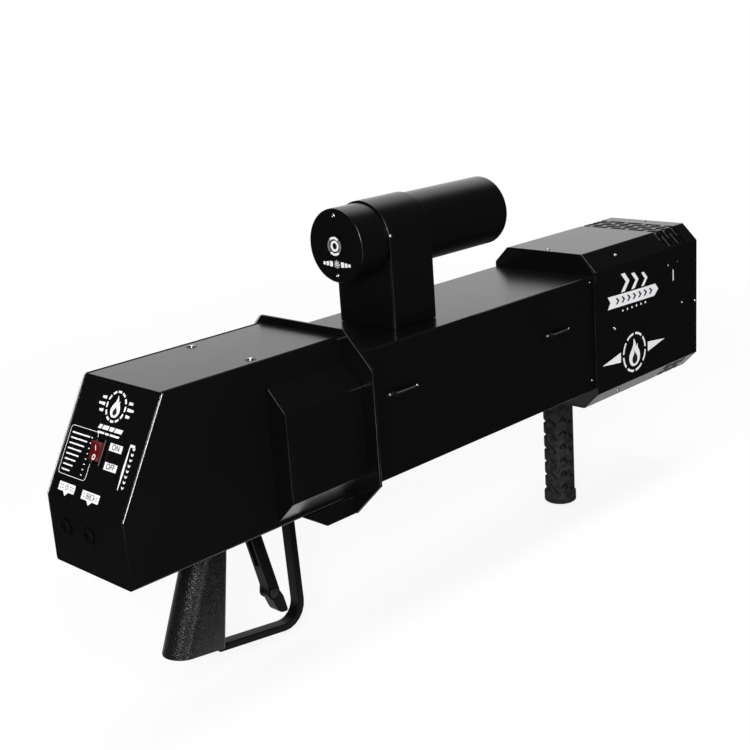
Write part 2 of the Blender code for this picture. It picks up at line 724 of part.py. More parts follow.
def slot_over_fold(x, low, high, fold, middle):
    """One slot from low to high, measured along the housing's skin from its centre line, top and bottom."""
    stations = [low] + [s for s in (-fold, fold) if low < s < high] + [high]
    half = VENT_WIDTH / 2
    slots = []
    for sign in (1, -1):
        outer = []
        inner = []
        for s in stations:
            side = math.copysign(1, s)
            over = max(abs(s) - fold, 0) / math.sqrt(2)
            point = Vector((side * (min(abs(s), fold) + over), middle + sign * (FRONT_HEIGHT / 2 - over)))
            lean = 0.0
            if abs(s) == fold:
                lean = math.tan(math.pi / 8)  # halfway between the two faces
            elif abs(s) > fold:
                lean = 1.0
            away = Vector((side * lean, sign)) * 3 * SHEET
            outer.append(tuple(point + away))
            inner.append(tuple(point - away))
        slots.append(prism(outer + inner[::-1], "X", x - half, x + half))
    return slots


def nozzle_housing():
    cowl = place("nozzle_cowl", prism(rounded(front_octagon(), BEND), "X", FRONT_REAR, MUZZLE), BLACK)
    cut(cowl, "hollow", prism(front_octagon(SHEET), "X", -FAR, FAR))
    cut(cowl, "vents", vent_cutters())
    slot_x = MUZZLE - SIDE_SLOT_TO_MUZZLE
    slot_z = AXIS_HEIGHT + SIDE_SLOT_RISE
    openings = [prism(rectangle(SIDE_SLOT_WIDTH, SIDE_SLOT_HEIGHT, (slot_x, slot_z)), "Y", -FAR, FAR)]
    for end in (-1, 1):
        centre = (slot_x + end * SIDE_HOLE_SPACING / 2, AXIS_HEIGHT + SIDE_HOLE_RISE)
        openings.append(prism(circle(centre, SIDE_HOLE_RADIUS, 8), "Y", -FAR, FAR))
    cut(cowl, "side_openings", gathered(openings))

    inset = SHEET + SEAT
    back = place("cowl_back_plate", prism(front_octagon(inset), "X", FRONT_REAR, FRONT_REAR + SHEET), BLACK)
    cut(back, "window", prism(rectangle(WIRE_WINDOW, WIRE_WINDOW, (0, AXIS_HEIGHT)), "X", -FAR, FAR))

    plate = place(
        "nozzle_plate", prism(front_octagon(inset), "X", NOZZLE_PLATE - PLATE_THICKNESS, NOZZLE_PLATE), STEEL
    )
    holes = [prism(circle((0, AXIS_HEIGHT), NOZZLE_STEM_RADIUS + SEAT, 24), "X", -FAR, FAR)]
    holes += [prism(circle(c, CERAMIC_RADIUS + SEAT, 12), "X", -FAR, FAR) for c in electrode_places()]
    cut(plate, "holes", gathered(holes))

    start = MUZZLE - MUZZLE_FRAME_RECESS - MUZZLE_FRAME_LENGTH
    frame = place("muzzle_frame", prism(front_octagon(inset), "X", start, start + MUZZLE_FRAME_LENGTH), BLACK)
    cut(frame, "opening", prism(front_octagon(inset + MUZZLE_FRAME_WALL), "X", -FAR, FAR))


def electrode_places():
    z = AXIS_HEIGHT + ELECTRODE_RISE
    return [(side * ELECTRODE_SPACING / 2, z) for side in (1, -1)]


# Lamp


def lamp_bracket():
    inner = LAMP_TUBE_RADIUS + SEAT
    outer = inner + SHEET
    foot = MID_HEIGHT + SEAT
    outline = [(outer, foot)] + arc((0, LAMP_AXIS), outer, 0, math.pi, 24) + [(-outer, foot)]
    outline += [(-inner, foot)] + arc((0, LAMP_AXIS), inner, math.pi, 0, 24) + [(inner, foot)]
    place("lamp_bracket", prism(outline, "X", BRACKET_REAR, BRACKET_FRONT), BLACK)
    half = inner - SEAT
    start = -math.asin(BRACKET_WALL_DROP / inner)
    scoop = arc((0, LAMP_AXIS), inner, start, -math.pi - start, 14)
    top = LAMP_AXIS - BRACKET_WALL_DROP
    wall = [(-half, foot), (half, foot), (half, top)] + scoop + [(-half, top)]
    for name, x in (("bracket_rear_wall", BRACKET_REAR), ("bracket_front_wall", BRACKET_FRONT - SHEET)):
        place(name, prism(wall, "X", x, x + SHEET), BLACK)


def lamp_tube():
    along = (1, 0, 0)
    axis = (0, 0, LAMP_AXIS)
    radius = LAMP_TUBE_RADIUS
    bore = radius - LAMP_TUBE_WALL
    fit = bore - SEAT
    rear = LAMP_REAR + LAMP_CAP_THICKNESS + SEAT
    profile = [(rear, bore), (rear, radius), (LAMP_FRONT, radius), (LAMP_FRONT, bore)]
    place("lamp_tube", turned(profile, along, axis, 40), BLACK)

    hole = BUTTON_BODY_RADIUS + SEAT
    face = LAMP_REAR + LAMP_CAP_THICKNESS
    spigot_end = face + LAMP_CAP_SPIGOT
    cap = [
        (LAMP_REAR, hole),
        (LAMP_REAR, radius - BEND / 4),
        (LAMP_REAR + BEND / 4, radius),
        (face, radius),
        (face, fit),
        (spigot_end, fit),
        (spigot_end, fit - LAMP_TUBE_WALL),
        (face, fit - LAMP_TUBE_WALL),
        (face, hole),
    ]
    place("lamp_rear_cap", turned(cap, along, axis, 40), BLACK)

    front = LAMP_FRONT - LAMP_BEZEL_RECESS
    seat = front - LAMP_BEZEL_LENGTH
    opening = fit - LAMP_BEZEL_WALL
    bezel = [(seat, opening), (seat, fit), (front, fit), (front, opening + SHEET)]
    place("lamp_bezel", turned(bezel, along, axis, 40), BLACK)

    lens_front = seat - SEAT
    lens_back = lens_front - LENS_THICKNESS
    lens = [(lens_back, 0), (lens_back, fit), (lens_front, fit), (lens_front, opening), (seat + SHEET, 0)]
    place("lamp_lens", turned(lens, along, axis, 40), GLASS)

    rim = lens_back - SEAT
    depth = REFLECTOR_DEPTH
    neck = REFLECTOR_NECK_RADIUS
    bowl = []
    for i in range(9):
        t = i / 8
        bowl.append((rim - depth * (1 - t * t), neck + (fit - SHEET - neck) * t))
    shell = offset_line(bowl, REFLECTOR_WALL)
    outline = bowl + [(rim, fit), (rim - REFLECTOR_WALL, fit), shell[-2]] + shell[-3::-1]
    place("lamp_reflector", turned(outline, along, axis, 24), CHROME)

    board_front = min(p[0] for p in outline) - SEAT
    board_back = board_front - LED_BOARD_THICKNESS
    board = [
        (board_back, 0),
        (board_back, fit),
        (board_front, fit),
        (board_front, LED_RADIUS),
        (board_front + LED_HEIGHT, LED_RADIUS),
        (board_front + LED_HEIGHT, 0),
    ]
    place("led_board", turned(board, along, axis, 32), BOARD)

    sink_front = board_back - SEAT
    sink = [(sink_front, 0)]
    fin = HEATSINK_LENGTH / (2 * HEATSINK_FINS)
    for i in range(HEATSINK_FINS):
        x = sink_front - 2 * fin * i
        sink += [(x, fit), (x - fin, fit)]
        if i < HEATSINK_FINS - 1:
            sink += [(x - fin, fit / 2), (x - 2 * fin, fit / 2)]
    sink.append((sink[-1][0], 0))
    place("lamp_heatsink", turned(sink[::-1], along, axis, 24), ALUMINIUM)


def mode_button():
    along = (-1, 0, 0)
    centre = (LAMP_REAR, 0, LAMP_AXIS)
    bore = BUTTON_RADIUS + RUN
    top = SEAT + BUTTON_BEZEL_HEIGHT
    bottom = top - BUTTON_LENGTH - BUTTON_TRAVEL - 2 * RUN
    profile = [
        (-BUTTON_BODY_LENGTH, 0),
        (-BUTTON_BODY_LENGTH, BUTTON_BODY_RADIUS),
        (SEAT, BUTTON_BODY_RADIUS),
        (SEAT, BUTTON_BEZEL_RADIUS),
        (top - SHEET / 2, BUTTON_BEZEL_RADIUS),
        (top, BUTTON_BEZEL_RADIUS - SHEET / 2),
        (top, bore),
        (bottom, bore),
        (bottom, 0),
    ]
    place("button_bezel", turned(profile, along, centre, 32), PLASTIC)
    face = top - RUN
    button = [
        (face - BUTTON_LENGTH, 0),
        (face - BUTTON_LENGTH, BUTTON_RADIUS),
        (face - SHEET / 3, BUTTON_RADIUS),
        (face, BUTTON_RADIUS - SHEET / 3),
        (face, 0),
    ]
    place("mode_button", turned(button, along, centre, 32), PLASTIC, centre)


# Pistol grip, trigger and guard


def grip_section(z_of, front, length, inset):
    """A ring with a round back, flat sides and small front corners, z_of giving each point's height."""
    half = GRIP_WIDTH / 2 - inset
    corner = GRIP_INNER_CORNER if inset else GRIP_CORNER
    rear = front - length + inset
    front = front - inset
    back = arc((rear + half, 0), half, math.pi / 2, 3 * math.pi / 2, 12)
    right = arc((front - corner, -half + corner), corner, -math.pi / 2, 0, 3)
    left = arc((front - corner, half - corner), corner, 0, math.pi / 2, 3)
    return [(x, y, z_of(x)) for x, y in back + right + left]


def grip_solid(inset):
    front_top = REAR_FRONT - GRIP_TO_COLLAR
    front_bottom = grip_bottom_front()
    reach = 2 * inset  # the hollow's solid runs out through the open top
    lean = GRIP_BACK_LEAN * reach
    top = REAR_BOTTOM - SEAT + reach
    low = grip_section(lambda x: grip_bottom(x) + inset, front_bottom, GRIP_BOTTOM_LENGTH, inset)
    high = grip_section(lambda x: top, front_top + lean / 2, GRIP_TOP_LENGTH - lean / 2, inset)
    return lofted([low, high])


def grip_bottom_front():
    """X of the front of the grip's bottom."""
    back_top = REAR_FRONT - GRIP_TO_COLLAR - GRIP_TOP_LENGTH
    return back_top - GRIP_BACK_LEAN * GRIP_HEIGHT + GRIP_BOTTOM_LENGTH


def grip_bottom(x):
    """Height of the grip's sloping bottom at x."""
    middle = grip_bottom_front() - GRIP_BOTTOM_LENGTH / 2
    return REAR_BOTTOM - SEAT - GRIP_HEIGHT - GRIP_BOTTOM_SLOPE * (x - middle)


def pistol_grip():
    for name, side in (("grip_left", 1), ("grip_right", -1)):
        half = place(name, grip_solid(0.0), GRIP)
        soften(half, GRIP_EDGE, 2, 50)
        cut(half, "hollow", grip_solid(GRIP_WALL))
        near, far = sorted((side * SEAT / 2, -side * FAR))
        cut(half, "other_half", box((-FAR, near, -FAR), (FAR, far, FAR)))


def trigger_guard():
    run = math.hypot(1, GRIP_BOTTOM_SLOPE)

    def middle(x):
        """Height of the lower run's middle, which carries on the line of the grip's bottom."""
        return grip_bottom(x) - (SEAT + GUARD_THICKNESS / 2) * run

    leg_top = (REAR_FRONT - GUARD_LEG_TOP_TO_COLLAR, REAR_BOTTOM)
    corner_x = REAR_FRONT - GUARD_LEG_BOTTOM_TO_COLLAR
    grip_front = grip_bottom_front()
    tab_end = grip_front - GUARD_TAB_LENGTH
    path = folded([leg_top, (corner_x, middle(corner_x)), (tab_end, middle(tab_end))], GUARD_BEND, 6)
    half = GUARD_WIDTH / 2
    guard = place("trigger_guard", prism(strip(path, GUARD_THICKNESS), "Y", -half, half), PLASTIC)
    relief = [(x, grip_bottom(x) - (SEAT + GUARD_TAB_THICKNESS) * run) for x in (tab_end - BEND, grip_front)]
    relief += [(grip_front - GUARD_THICKNESS, -FAR), (tab_end - BEND, -FAR)]
    cut(guard, "tab_relief", prism(relief, "Y", -GUARD_WIDTH, GUARD_WIDTH))
    outline = belly_outline(SEAT * 1.2)
    above = [(PIN_X, outline[1][1])] + outline[1:] + [(REAR_FRONT, REAR_TOP), (PIN_X, REAR_TOP)]
    cut(guard, "housing", prism(above, "Y", -GUARD_WIDTH, GUARD_WIDTH))
    soften(guard, GUARD_EDGE, 2, 40)


def lever_x(drop, face):
    """X of the trigger's lever at a drop under its pin: face -1 is its back, 1 its front."""
    middle = PIN_X + LATCH_PIVOT_FORWARD + TRIGGER_DEPTH * 0.12 - TRIGGER_LEAN * (LATCH_PIVOT_DROP - drop)
    return middle + face * TRIGGER_DEPTH / 2


def trigger():
    pin = (PIN_X, PIN_Z)
    latch = (LATCH_X, LATCH_Z)
    top_drop = TRIGGER_PIN_HEIGHT
    end_drop = LATCH_PIVOT_DROP
    outline = [
        (lever_x(top_drop, -1), PIN_Z - top_drop),
        (lever_x(end_drop - LATCH_HUB_RADIUS, -1), PIN_Z - end_drop + LATCH_HUB_RADIUS),
    ]
    outline += arc(latch, LATCH_HUB_RADIUS, math.radians(165), math.radians(375), 12)
    outline.append((lever_x(top_drop, 1), PIN_Z - top_drop))
    outline.append((PIN_X + TRIGGER_HUB_RADIUS * 0.5, PIN_Z - TRIGGER_HUB_RADIUS * 0.3))
    half = TRIGGER_WIDTH / 2
    lever = place("trigger", prism(outline, "Y", -half, half), PLASTIC, (PIN_X, 0, PIN_Z))
    hub_half = TRIGGER_HUB_WIDTH / 2
    trim = box((-FAR, hub_half, PIN_Z - TRIGGER_HUB_RADIUS - RUN), (FAR, FAR, FAR))
    cut(lever, "left_shoulder", trim)
    trim = box((-FAR, -FAR, PIN_Z - TRIGGER_HUB_RADIUS - RUN), (FAR, -hub_half, FAR))
    cut(lever, "right_shoulder", trim)
    arm = [(PIN_X - TRIGGER_HUB_RADIUS * 0.57, PIN_Z - TRIGGER_HUB_RADIUS * 0.9)]
    arm += arc(pin, TRIGGER_HUB_RADIUS, math.radians(-60), math.radians(50), 6)
    arm_half = TRIGGER_ARM_WIDTH / 2
    arm += [(PIN_X + arm_half, PIN_Z + TRIGGER_ARM), (PIN_X - arm_half, PIN_Z + TRIGGER_ARM)]
    arm += arc(pin, TRIGGER_HUB_RADIUS, math.radians(130), math.radians(225), 5)
    add(lever, "hub", prism(arm, "Y", -hub_half, hub_half))
    cut(lever, "pin_hole", prism(circle(pin, TRIGGER_PIN_RADIUS + SEAT, 16), "Y", -FAR, FAR))
    cut(lever, "latch_hole", prism(circle(latch, LATCH_PIN_RADIUS + SEAT, 16), "Y", -FAR, FAR))
    fork = LATCH_TONGUE_WIDTH / 2 + RUN
    gap = circle(latch, LATCH_HUB_RADIUS + RUN, 20)
    cut(lever, "fork", prism(gap, "Y", -fork, fork))
    channel_half = TRIGGER_WIDTH / 4
    ends = (TRIGGER_CHANNEL_TOP, TRIGGER_CHANNEL_END)
    channel = [(lever_x(drop, -1.6), PIN_Z - drop) for drop in ends]
    channel += [(lever_x(drop, 0.0), PIN_Z - drop) for drop in ends[::-1]]
    cut(lever, "channel", prism(channel, "Y", -channel_half, channel_half))


def trigger_latch():
    latch = (LATCH_X, LATCH_Z)
    half = TRIGGER_WIDTH / 2
    clear = LATCH_HUB_RADIUS + RUN
    tip = (LATCH_X + LATCH_REACH * 0.535, LATCH_Z - LATCH_REACH * 0.845)
    saddle = arc(latch, clear, math.radians(-8), math.radians(-106), 8)
    front = (LATCH_X + LATCH_REACH * 0.385, LATCH_Z - LATCH_REACH * 0.26)
    heel = (LATCH_X + LATCH_REACH * 0.16, LATCH_Z - LATCH_REACH * 0.81)
    below = rounded_corner(tip, heel, saddle[-1], LATCH_HEEL_RADIUS, 4)
    nose = rounded_corner(front, tip, heel, LATCH_TIP_RADIUS, 3)
    outline = saddle + below[::-1] + nose[::-1] + [front]
    toe = place("trigger_latch", prism(outline, "Y", -half, half), PLASTIC, (LATCH_X, 0, LATCH_Z))
    tongue_half = LATCH_TONGUE_WIDTH / 2
    tongue = circle(latch, LATCH_HUB_RADIUS - RUN, 20)
    add(toe, "tongue", prism(tongue, "Y", -tongue_half, tongue_half))
    rear = LATCH_X - LATCH_STEM / 7
    base = LATCH_Z - clear - LATCH_STEM * 0.3
    neck = LATCH_Z - LATCH_HUB_RADIUS / 2
    stem = [(rear, neck), (rear, base), (rear + LATCH_STEM, base), (rear + LATCH_STEM * 0.7, neck)]
    add(toe, "stem", prism(stem, "Y", -tongue_half, tongue_half))
    cut(toe, "hole", prism(circle(latch, LATCH_PIN_RADIUS + SEAT, 16), "Y", -FAR, FAR))
    reach = TRIGGER_WIDTH / 2 + SEAT
    head = reach + LATCH_PIN_HEAD_THICKNESS
    profile = [
        (-head, 0),
        (-head, LATCH_PIN_HEAD_RADIUS - SEAT),
        (-reach, LATCH_PIN_HEAD_RADIUS),
        (-reach, LATCH_PIN_RADIUS),
        (reach, LATCH_PIN_RADIUS),
        (reach, LATCH_PIN_HEAD_RADIUS),
        (head, LATCH_PIN_HEAD_RADIUS - SEAT),
        (head, 0),
    ]
    place("latch_pin", turned(profile, (0, 1, 0), (LATCH_X, 0, LATCH_Z), 20), STEEL)


def trigger_mechanism():
    floor = REAR_BOTTOM + SHEET + SEAT
    ear = TRIGGER_WIDTH / 2 + 2 * RUN + SHEET / 2
    path = [
        (-ear, floor + TRIGGER_BRACKET_HEIGHT),
        (-ear, floor + SHEET / 2),
        (ear, floor + SHEET / 2),
        (ear, floor + TRIGGER_BRACKET_HEIGHT),
    ]
    rear = PIN_X - TRIGGER_HUB_RADIUS * 1.6
    channel = prism(strip(path, SHEET), "X", rear, rear + TRIGGER_BRACKET_LENGTH)
    bracket = place("trigger_bracket", channel, STEEL)
    half = TRIGGER_WIDTH / 2 + RUN
    slot_start = (PIN_X - TRIGGER_HUB_RADIUS, -half, REAR_BOTTOM)
    slot_end = (PIN_X + 2 * TRIGGER_HUB_RADIUS, half, floor + 2 * SHEET)
    cut(bracket, "slot", box(slot_start, slot_end))
    pin_hole = circle((PIN_X, PIN_Z), TRIGGER_PIN_RADIUS + SEAT, 16)
    cut(bracket, "pin_holes", prism(pin_hole, "Y", -FAR, FAR))

    outer = ear + SHEET / 2 + SEAT
    head = outer + SHEET / 2
    profile = [
        (-head, 0),
        (-head, TRIGGER_PIN_RADIUS * 1.5),
        (-outer, TRIGGER_PIN_RADIUS * 1.5),
        (-outer, TRIGGER_PIN_RADIUS),
        (outer, TRIGGER_PIN_RADIUS),
        (outer, TRIGGER_PIN_RADIUS * 1.5),
        (head, TRIGGER_PIN_RADIUS * 1.5),
        (head, 0),
    ]
    place("trigger_pin", turned(profile, (0, 1, 0), (PIN_X, 0, PIN_Z), 20), STEEL)

    wire = SPRING_WIRE_RADIUS
    start = TRIGGER_HUB_WIDTH / 2 + SEAT
    rows = []
    for i in range(SPRING_TURNS):
        middle = start + wire * (2 * i + 1)
        rows += arc((middle, 0), wire, math.radians(150), math.radians(30), 4)
    outer = [(along, SPRING_COIL_RADIUS + rise) for along, rise in rows]
    inner = [(along, SPRING_COIL_RADIUS - rise) for along, rise in rows[::-1]]
    spring = turned(outer + inner, (0, 1, 0), (PIN_X, 0, PIN_Z), 12)
    spring = place("trigger_spring", spring, STEEL)
    leg_low = (PIN_X - SPRING_COIL_RADIUS - wire, start, PIN_Z)
    leg_high = (PIN_X - SPRING_COIL_RADIUS + wire, start + 2 * wire, PIN_Z + SPRING_LEG)
    add(spring, "leg", box(leg_low, leg_high))

    length, width, height = SWITCH_SIZE
    inner_ear = ear - SHEET / 2 - SEAT
    swept = TRIGGER_ARM * math.sin(TRIGGER_PULL) + TRIGGER_ARM_WIDTH / 2
    front = PIN_X + swept + SWITCH_GAP
    low = PIN_Z + TRIGGER_HUB_RADIUS - TRIGGER_ARM_WIDTH / 2
    switch = box((front, -inner_ear, low), (front + length, width - inner_ear, low + height))
    switch = place("trigger_switch", switch, PLASTIC)
    plunger_low = Vector((front - PLUNGER_REACH, (width - PLUNGER_SIZE[1]) / 2 - inner_ear, 0))
    plunger_low.z = PIN_Z + TRIGGER_ARM - PLUNGER_SIZE[2] - PLUNGER_REACH
    plunger = box(plunger_low, plunger_low + Vector(PLUNGER_SIZE))
    add(switch, "plunger", plunger)


# Front handle


def front_handle():
    top = FRONT_BOTTOM - SEAT
    down = (0, 0, -1)
    centre = (HANDLE_X, 0, top)
    core = HANDLE_CORE_RADIUS
    core_length = HANDLE_LENGTH - HANDLE_END_THICKNESS - SEAT
    bore = core - HANDLE_CORE_WALL
    tube = [(0, bore), (0, core), (core_length, core), (core_length, bore)]
    place("handle_core", turned(tube, down, centre, 24), STEEL)
    flange_start = HANDLE_LENGTH - HANDLE_FLANGE_LENGTH
    groove = flange_start + HANDLE_FLANGE_LENGTH * 0.55
    sleeve = [
        (0, core + SEAT),
        (0, HANDLE_RADIUS),
        (flange_start - HANDLE_EDGE / 2, HANDLE_RADIUS),
        (flange_start, HANDLE_FLANGE_RADIUS),
        (groove, HANDLE_FLANGE_RADIUS),
        (groove + HANDLE_EDGE / 4, HANDLE_FLANGE_RADIUS - HANDLE_EDGE / 4),
        (groove + HANDLE_EDGE / 2, HANDLE_FLANGE_RADIUS),
        (HANDLE_LENGTH - HANDLE_EDGE, HANDLE_FLANGE_RADIUS),
        (HANDLE_LENGTH, HANDLE_FLANGE_RADIUS - HANDLE_EDGE),
        (HANDLE_LENGTH, 0),
        (HANDLE_LENGTH - HANDLE_END_THICKNESS, 0),
        (HANDLE_LENGTH - HANDLE_END_THICKNESS, core + SEAT),
    ]
    place("handle_sleeve", turned(sleeve, down, centre, 32), RUBBER)


# Strap loops


def strap_loops():
    wall = -MID_WIDTH / 2 - SEAT
    foot = wall - LOOP_THICKNESS / 2
    bar = -MID_WIDTH / 2 - LOOP_GAP - LOOP_THICKNESS / 2
    for name, side in (("rear_strap_loop", -1), ("front_strap_loop", 1)):
        x = side * LOOP_SPACING / 2 - LOOP_SETBACK
        ends = LOOP_LENGTH / 2
        knee = ends - LOOP_FOOT_LENGTH
        half_bar = LOOP_BAR_LENGTH / 2
        path = [(x - ends, foot), (x - knee, foot), (x - half_bar, bar)]
        path += [(x + half_bar, bar), (x + knee, foot), (x + ends, foot)]
        low = LOOP_ABOVE_BOTTOM - LOOP_HEIGHT / 2
        place(name, prism(strip(path, LOOP_THICKNESS), "Z", low, low + LOOP_HEIGHT), BLACK)


# Inside the rear housing


def battery():
    floor = REAR_BOTTOM + TRAY_HEIGHT
    wall = REAR_WIDTH / 2 - SHEET - SEAT - SHEET / 2
    front = REAR_FRONT - TRAY_TO_COLLAR
    path = [
        (-wall, floor - TRAY_FLANGE),
        (-wall, floor - SHEET / 2),
        (wall, floor - SHEET / 2),
        (wall, floor - TRAY_FLANGE),
    ]
    place("battery_tray", prism(strip(path, SHEET), "X", front - TRAY_LENGTH, front), STEEL)
    length, width, height = BATTERY_SIZE
    centre = front - TRAY_LENGTH / 2
    low = floor + SEAT
    outline = rounded(rectangle(width, height, (0, low + height / 2)), BATTERY_CORNER, 3)
    place("battery_pack", prism(outline, "X", centre - length / 2, centre + length / 2), BLUE)
    side = width / 2 + SEAT + SHEET / 2
    top = low + height + SEAT + SHEET / 2
    foot = floor + SEAT + SHEET / 2
    path = [(-side - BATTERY_STRAP_FOOT, foot), (-side, foot), (-side, top), (side, top), (side, foot)]
    path.append((side + BATTERY_STRAP_FOOT, foot))
    start = centre - BATTERY_STRAP_WIDTH / 2
    place("battery_strap", prism(strip(path, SHEET), "X", start, start + BATTERY_STRAP_WIDTH), STEEL)


def control_board():
    length, width, thickness = BOARD_SIZE
    ceiling = REAR_BOTTOM + TRAY_HEIGHT - SHEET - SEAT
    top = ceiling - BOARD_POST_LENGTH
    x = REAR_FRONT - TRAY_TO_COLLAR - TRAY_LENGTH / 2
    low = (x - length / 2, -width / 2, top - thickness)
    board = place("control_board", box(low, (x + length / 2, width / 2, top)), BOARD)
    parts = []
    for sx in (-1, 1):
        for sy in (-1, 1):
            centre = (x + sx * (length / 2 - BOARD_POST_INSET), sy * (width / 2 - BOARD_POST_INSET))
            parts.append(prism(circle(centre, BOARD_POST_RADIUS, 8), "Z", top - thickness / 2, ceiling))
    for (sx, sy), size in zip(((-0.3, 0.2), (0.05, -0.1), (0.32, 0.18)), CHIP_SIZES):
        centre = (x + sx * length, sy * width)
        low = top - thickness - size / 2
        parts.append(prism(rectangle(size, size, centre), "Z", low, top - thickness / 2))
    add(board, "posts_and_parts", gathered(parts))


# Gas can, valve, nozzle and igniter


def gas_supply():
    along = (1, 0, 0)
    axis = (0, 0, AXIS_HEIGHT)
    rear = MID_REAR + CAN_TO_COLLAR
    shoulder = rear + CAN_LENGTH
    neck = shoulder + CAN_DOME
    mouth = neck + CAN_NECK_LENGTH
    wall = CAN_WALL
    outer = [
        (rear, 0),
        (rear, CAN_RADIUS - 2 * wall),
        (rear + 2 * wall, CAN_RADIUS),
        (shoulder, CAN_RADIUS),
        (shoulder + CAN_DOME * 0.7, CAN_RADIUS * 0.7),
        (neck, CAN_NECK_RADIUS),
        (mouth, CAN_NECK_RADIUS),
    ]
    inner = [
        (mouth, CAN_NECK_RADIUS - wall),
        (neck - wall, CAN_NECK_RADIUS - wall),
        (shoulder + CAN_DOME * 0.7 - wall, CAN_RADIUS * 0.7 - wall),
        (shoulder - wall, CAN_RADIUS - wall),
        (rear + 2 * wall, CAN_RADIUS - wall),
        (rear + wall, 0),
    ]
    place("gas_can", turned(outer + inner, along, axis, 32), ALUMINIUM)

    width = MID_WIDTH - 2 * (SHEET + SEAT)
    height = MID_HEIGHT - 2 * (SHEET + SEAT)
    outline = octagon(width, height, CRADLE_CORNER, (0, AXIS_HEIGHT))
    stations = (("rear_can_cradle", rear + CRADLE_INSET), ("front_can_cradle", shoulder - CRADLE_INSET))
    for name, x in stations:
        cradle = place(name, prism(outline, "X", x, x + CRADLE_THICKNESS), PLASTIC)
        cut(cradle, "hole", prism(circle((0, AXIS_HEIGHT), CAN_RADIUS + SEAT, 32), "X", -FAR, FAR))
    stop = place("can_stop", prism(outline, "X", rear - SEAT - SHEET, rear - SEAT), STEEL)
    cut(stop, "hole", prism(circle((0, AXIS_HEIGHT), CAN_RADIUS / 2, 16), "X", -FAR, FAR))

    head_end = mouth + SEAT + VALVE_HEAD_LENGTH
    head = [
        (mouth + SEAT, 0),
        (mouth + SEAT, VALVE_HEAD_RADIUS),
        (head_end - VALVE_HEAD_TAPER, VALVE_HEAD_RADIUS),
        (head_end, VALVE_HEAD_RADIUS / 2),
        (head_end, 0),
    ]
    place("can_valve", turned(head, along, axis, 12), BRASS)

    inlet = FRONT_REAR + VALVE_FROM_BACK_PLATE
    pipe = bpy.data.curves.new("gas_pipe", "CURVE")
    pipe.dimensions = "3D"
    pipe.bevel_depth = PIPE_RADIUS
    pipe.bevel_resolution = 2
    pipe.use_fill_caps = True
    line = pipe.splines.new("POLY")
    start = head_end + SEAT
    end = inlet - SEAT
    steps = 24
    line.points.add(steps)
    for i, point in enumerate(line.points):
        t = i / steps
        ease = max(0.0, min(1.0, (t - 0.1) / 0.8))
        dip = PIPE_DIP * (1 - math.cos(math.tau * ease)) / 2
        point.co = (start + (end - start) * t, 0, AXIS_HEIGHT - dip, 1)
    pipe.materials.append(BRASS)
    bpy.context.scene.collection.objects.link(bpy.data.objects.new("gas_pipe", pipe))


def valve_and_nozzle():
    length, width, height = VALVE_SIZE
    x = FRONT_REAR + VALVE_FROM_BACK_PLATE
    low = AXIS_HEIGHT - height / 2
    block = box((x, -width / 2, low), (x + length, width / 2, low + height))
    valve = place("solenoid_valve", block, BRASS)
    coil = circle((x + length / 2, 0), VALVE_COIL_RADIUS, 20)
    add(valve, "coil", prism(coil, "Z", low + height / 2, low + height + VALVE_COIL_HEIGHT))

    foot = FRONT_BOTTOM + SHEET + SEAT + SHEET / 2
    top = low - SEAT - SHEET / 2
    side = width / 2 - SHEET / 2
    path = [(-side - STAND_FOOT, foot), (-side, foot), (-side, top), (side, top), (side, foot)]
    path.append((side + STAND_FOOT, foot))
    place("valve_stand", prism(strip(path, SHEET), "X", x, x + length), STEEL)

    back = x + length + SEAT
    plate_back = NOZZLE_PLATE - PLATE_THICKNESS
    tip = NOZZLE_PLATE + NOZZLE_REACH
    collar_end = NOZZLE_PLATE + NOZZLE_COLLAR_LENGTH
    profile = [
        (back, NOZZLE_BORE_RADIUS),
        (back, NOZZLE_COLLAR_RADIUS * 0.8),
        (back + NOZZLE_NUT_LENGTH, NOZZLE_COLLAR_RADIUS * 0.8),
        (back + NOZZLE_NUT_LENGTH, NOZZLE_STEM_RADIUS),
        (NOZZLE_PLATE + SEAT, NOZZLE_STEM_RADIUS),
        (NOZZLE_PLATE + SEAT, NOZZLE_COLLAR_RADIUS),
        (collar_end, NOZZLE_COLLAR_RADIUS),
        (collar_end + NOZZLE_COLLAR_LENGTH / 3, NOZZLE_STEM_RADIUS),
        (tip - NOZZLE_TAPER, NOZZLE_STEM_RADIUS),
        (tip, NOZZLE_TIP_RADIUS),
        (tip, NOZZLE_BORE_RADIUS),
    ]
    place("flame_nozzle", turned(profile, (1, 0, 0), (0, 0, AXIS_HEIGHT), 24), BRASS)

    ceramic_start = plate_back - CERAMIC_BACK
    ceramic_end = ceramic_start + CERAMIC_LENGTH
    for name, (y, z) in zip(("left_electrode", "right_electrode"), electrode_places()):
        rod = [
            (ceramic_start, 0),
            (ceramic_start, CERAMIC_RADIUS),
            (NOZZLE_PLATE + SEAT, CERAMIC_RADIUS),
            (NOZZLE_PLATE + SEAT, CERAMIC_RADIUS * 1.4),
            (NOZZLE_PLATE + CERAMIC_COLLAR_LENGTH, CERAMIC_RADIUS * 1.4),
            (NOZZLE_PLATE + CERAMIC_COLLAR_LENGTH, CERAMIC_RADIUS),
            (ceramic_end, CERAMIC_RADIUS * 0.8),
            (ceramic_end, ELECTRODE_WIRE_RADIUS),
            (ceramic_end + ELECTRODE_WIRE_LENGTH, ELECTRODE_WIRE_RADIUS),
            (ceramic_end + ELECTRODE_WIRE_LENGTH, 0),
        ]
        place(name, turned(rod, (1, 0, 0), (0, y, z), 12), CERAMIC)

    length, width, height = COIL_SIZE
    start = x + VALVE_SIZE[0] + COIL_GAP
    low = FRONT_BOTTOM + SHEET + SEAT
    outline = rounded(rectangle(length, width, (start + length / 2, 0)), COIL_CORNER, 2)
    place("ignition_coil", prism(outline, "Z", low, low + height), PLASTIC)


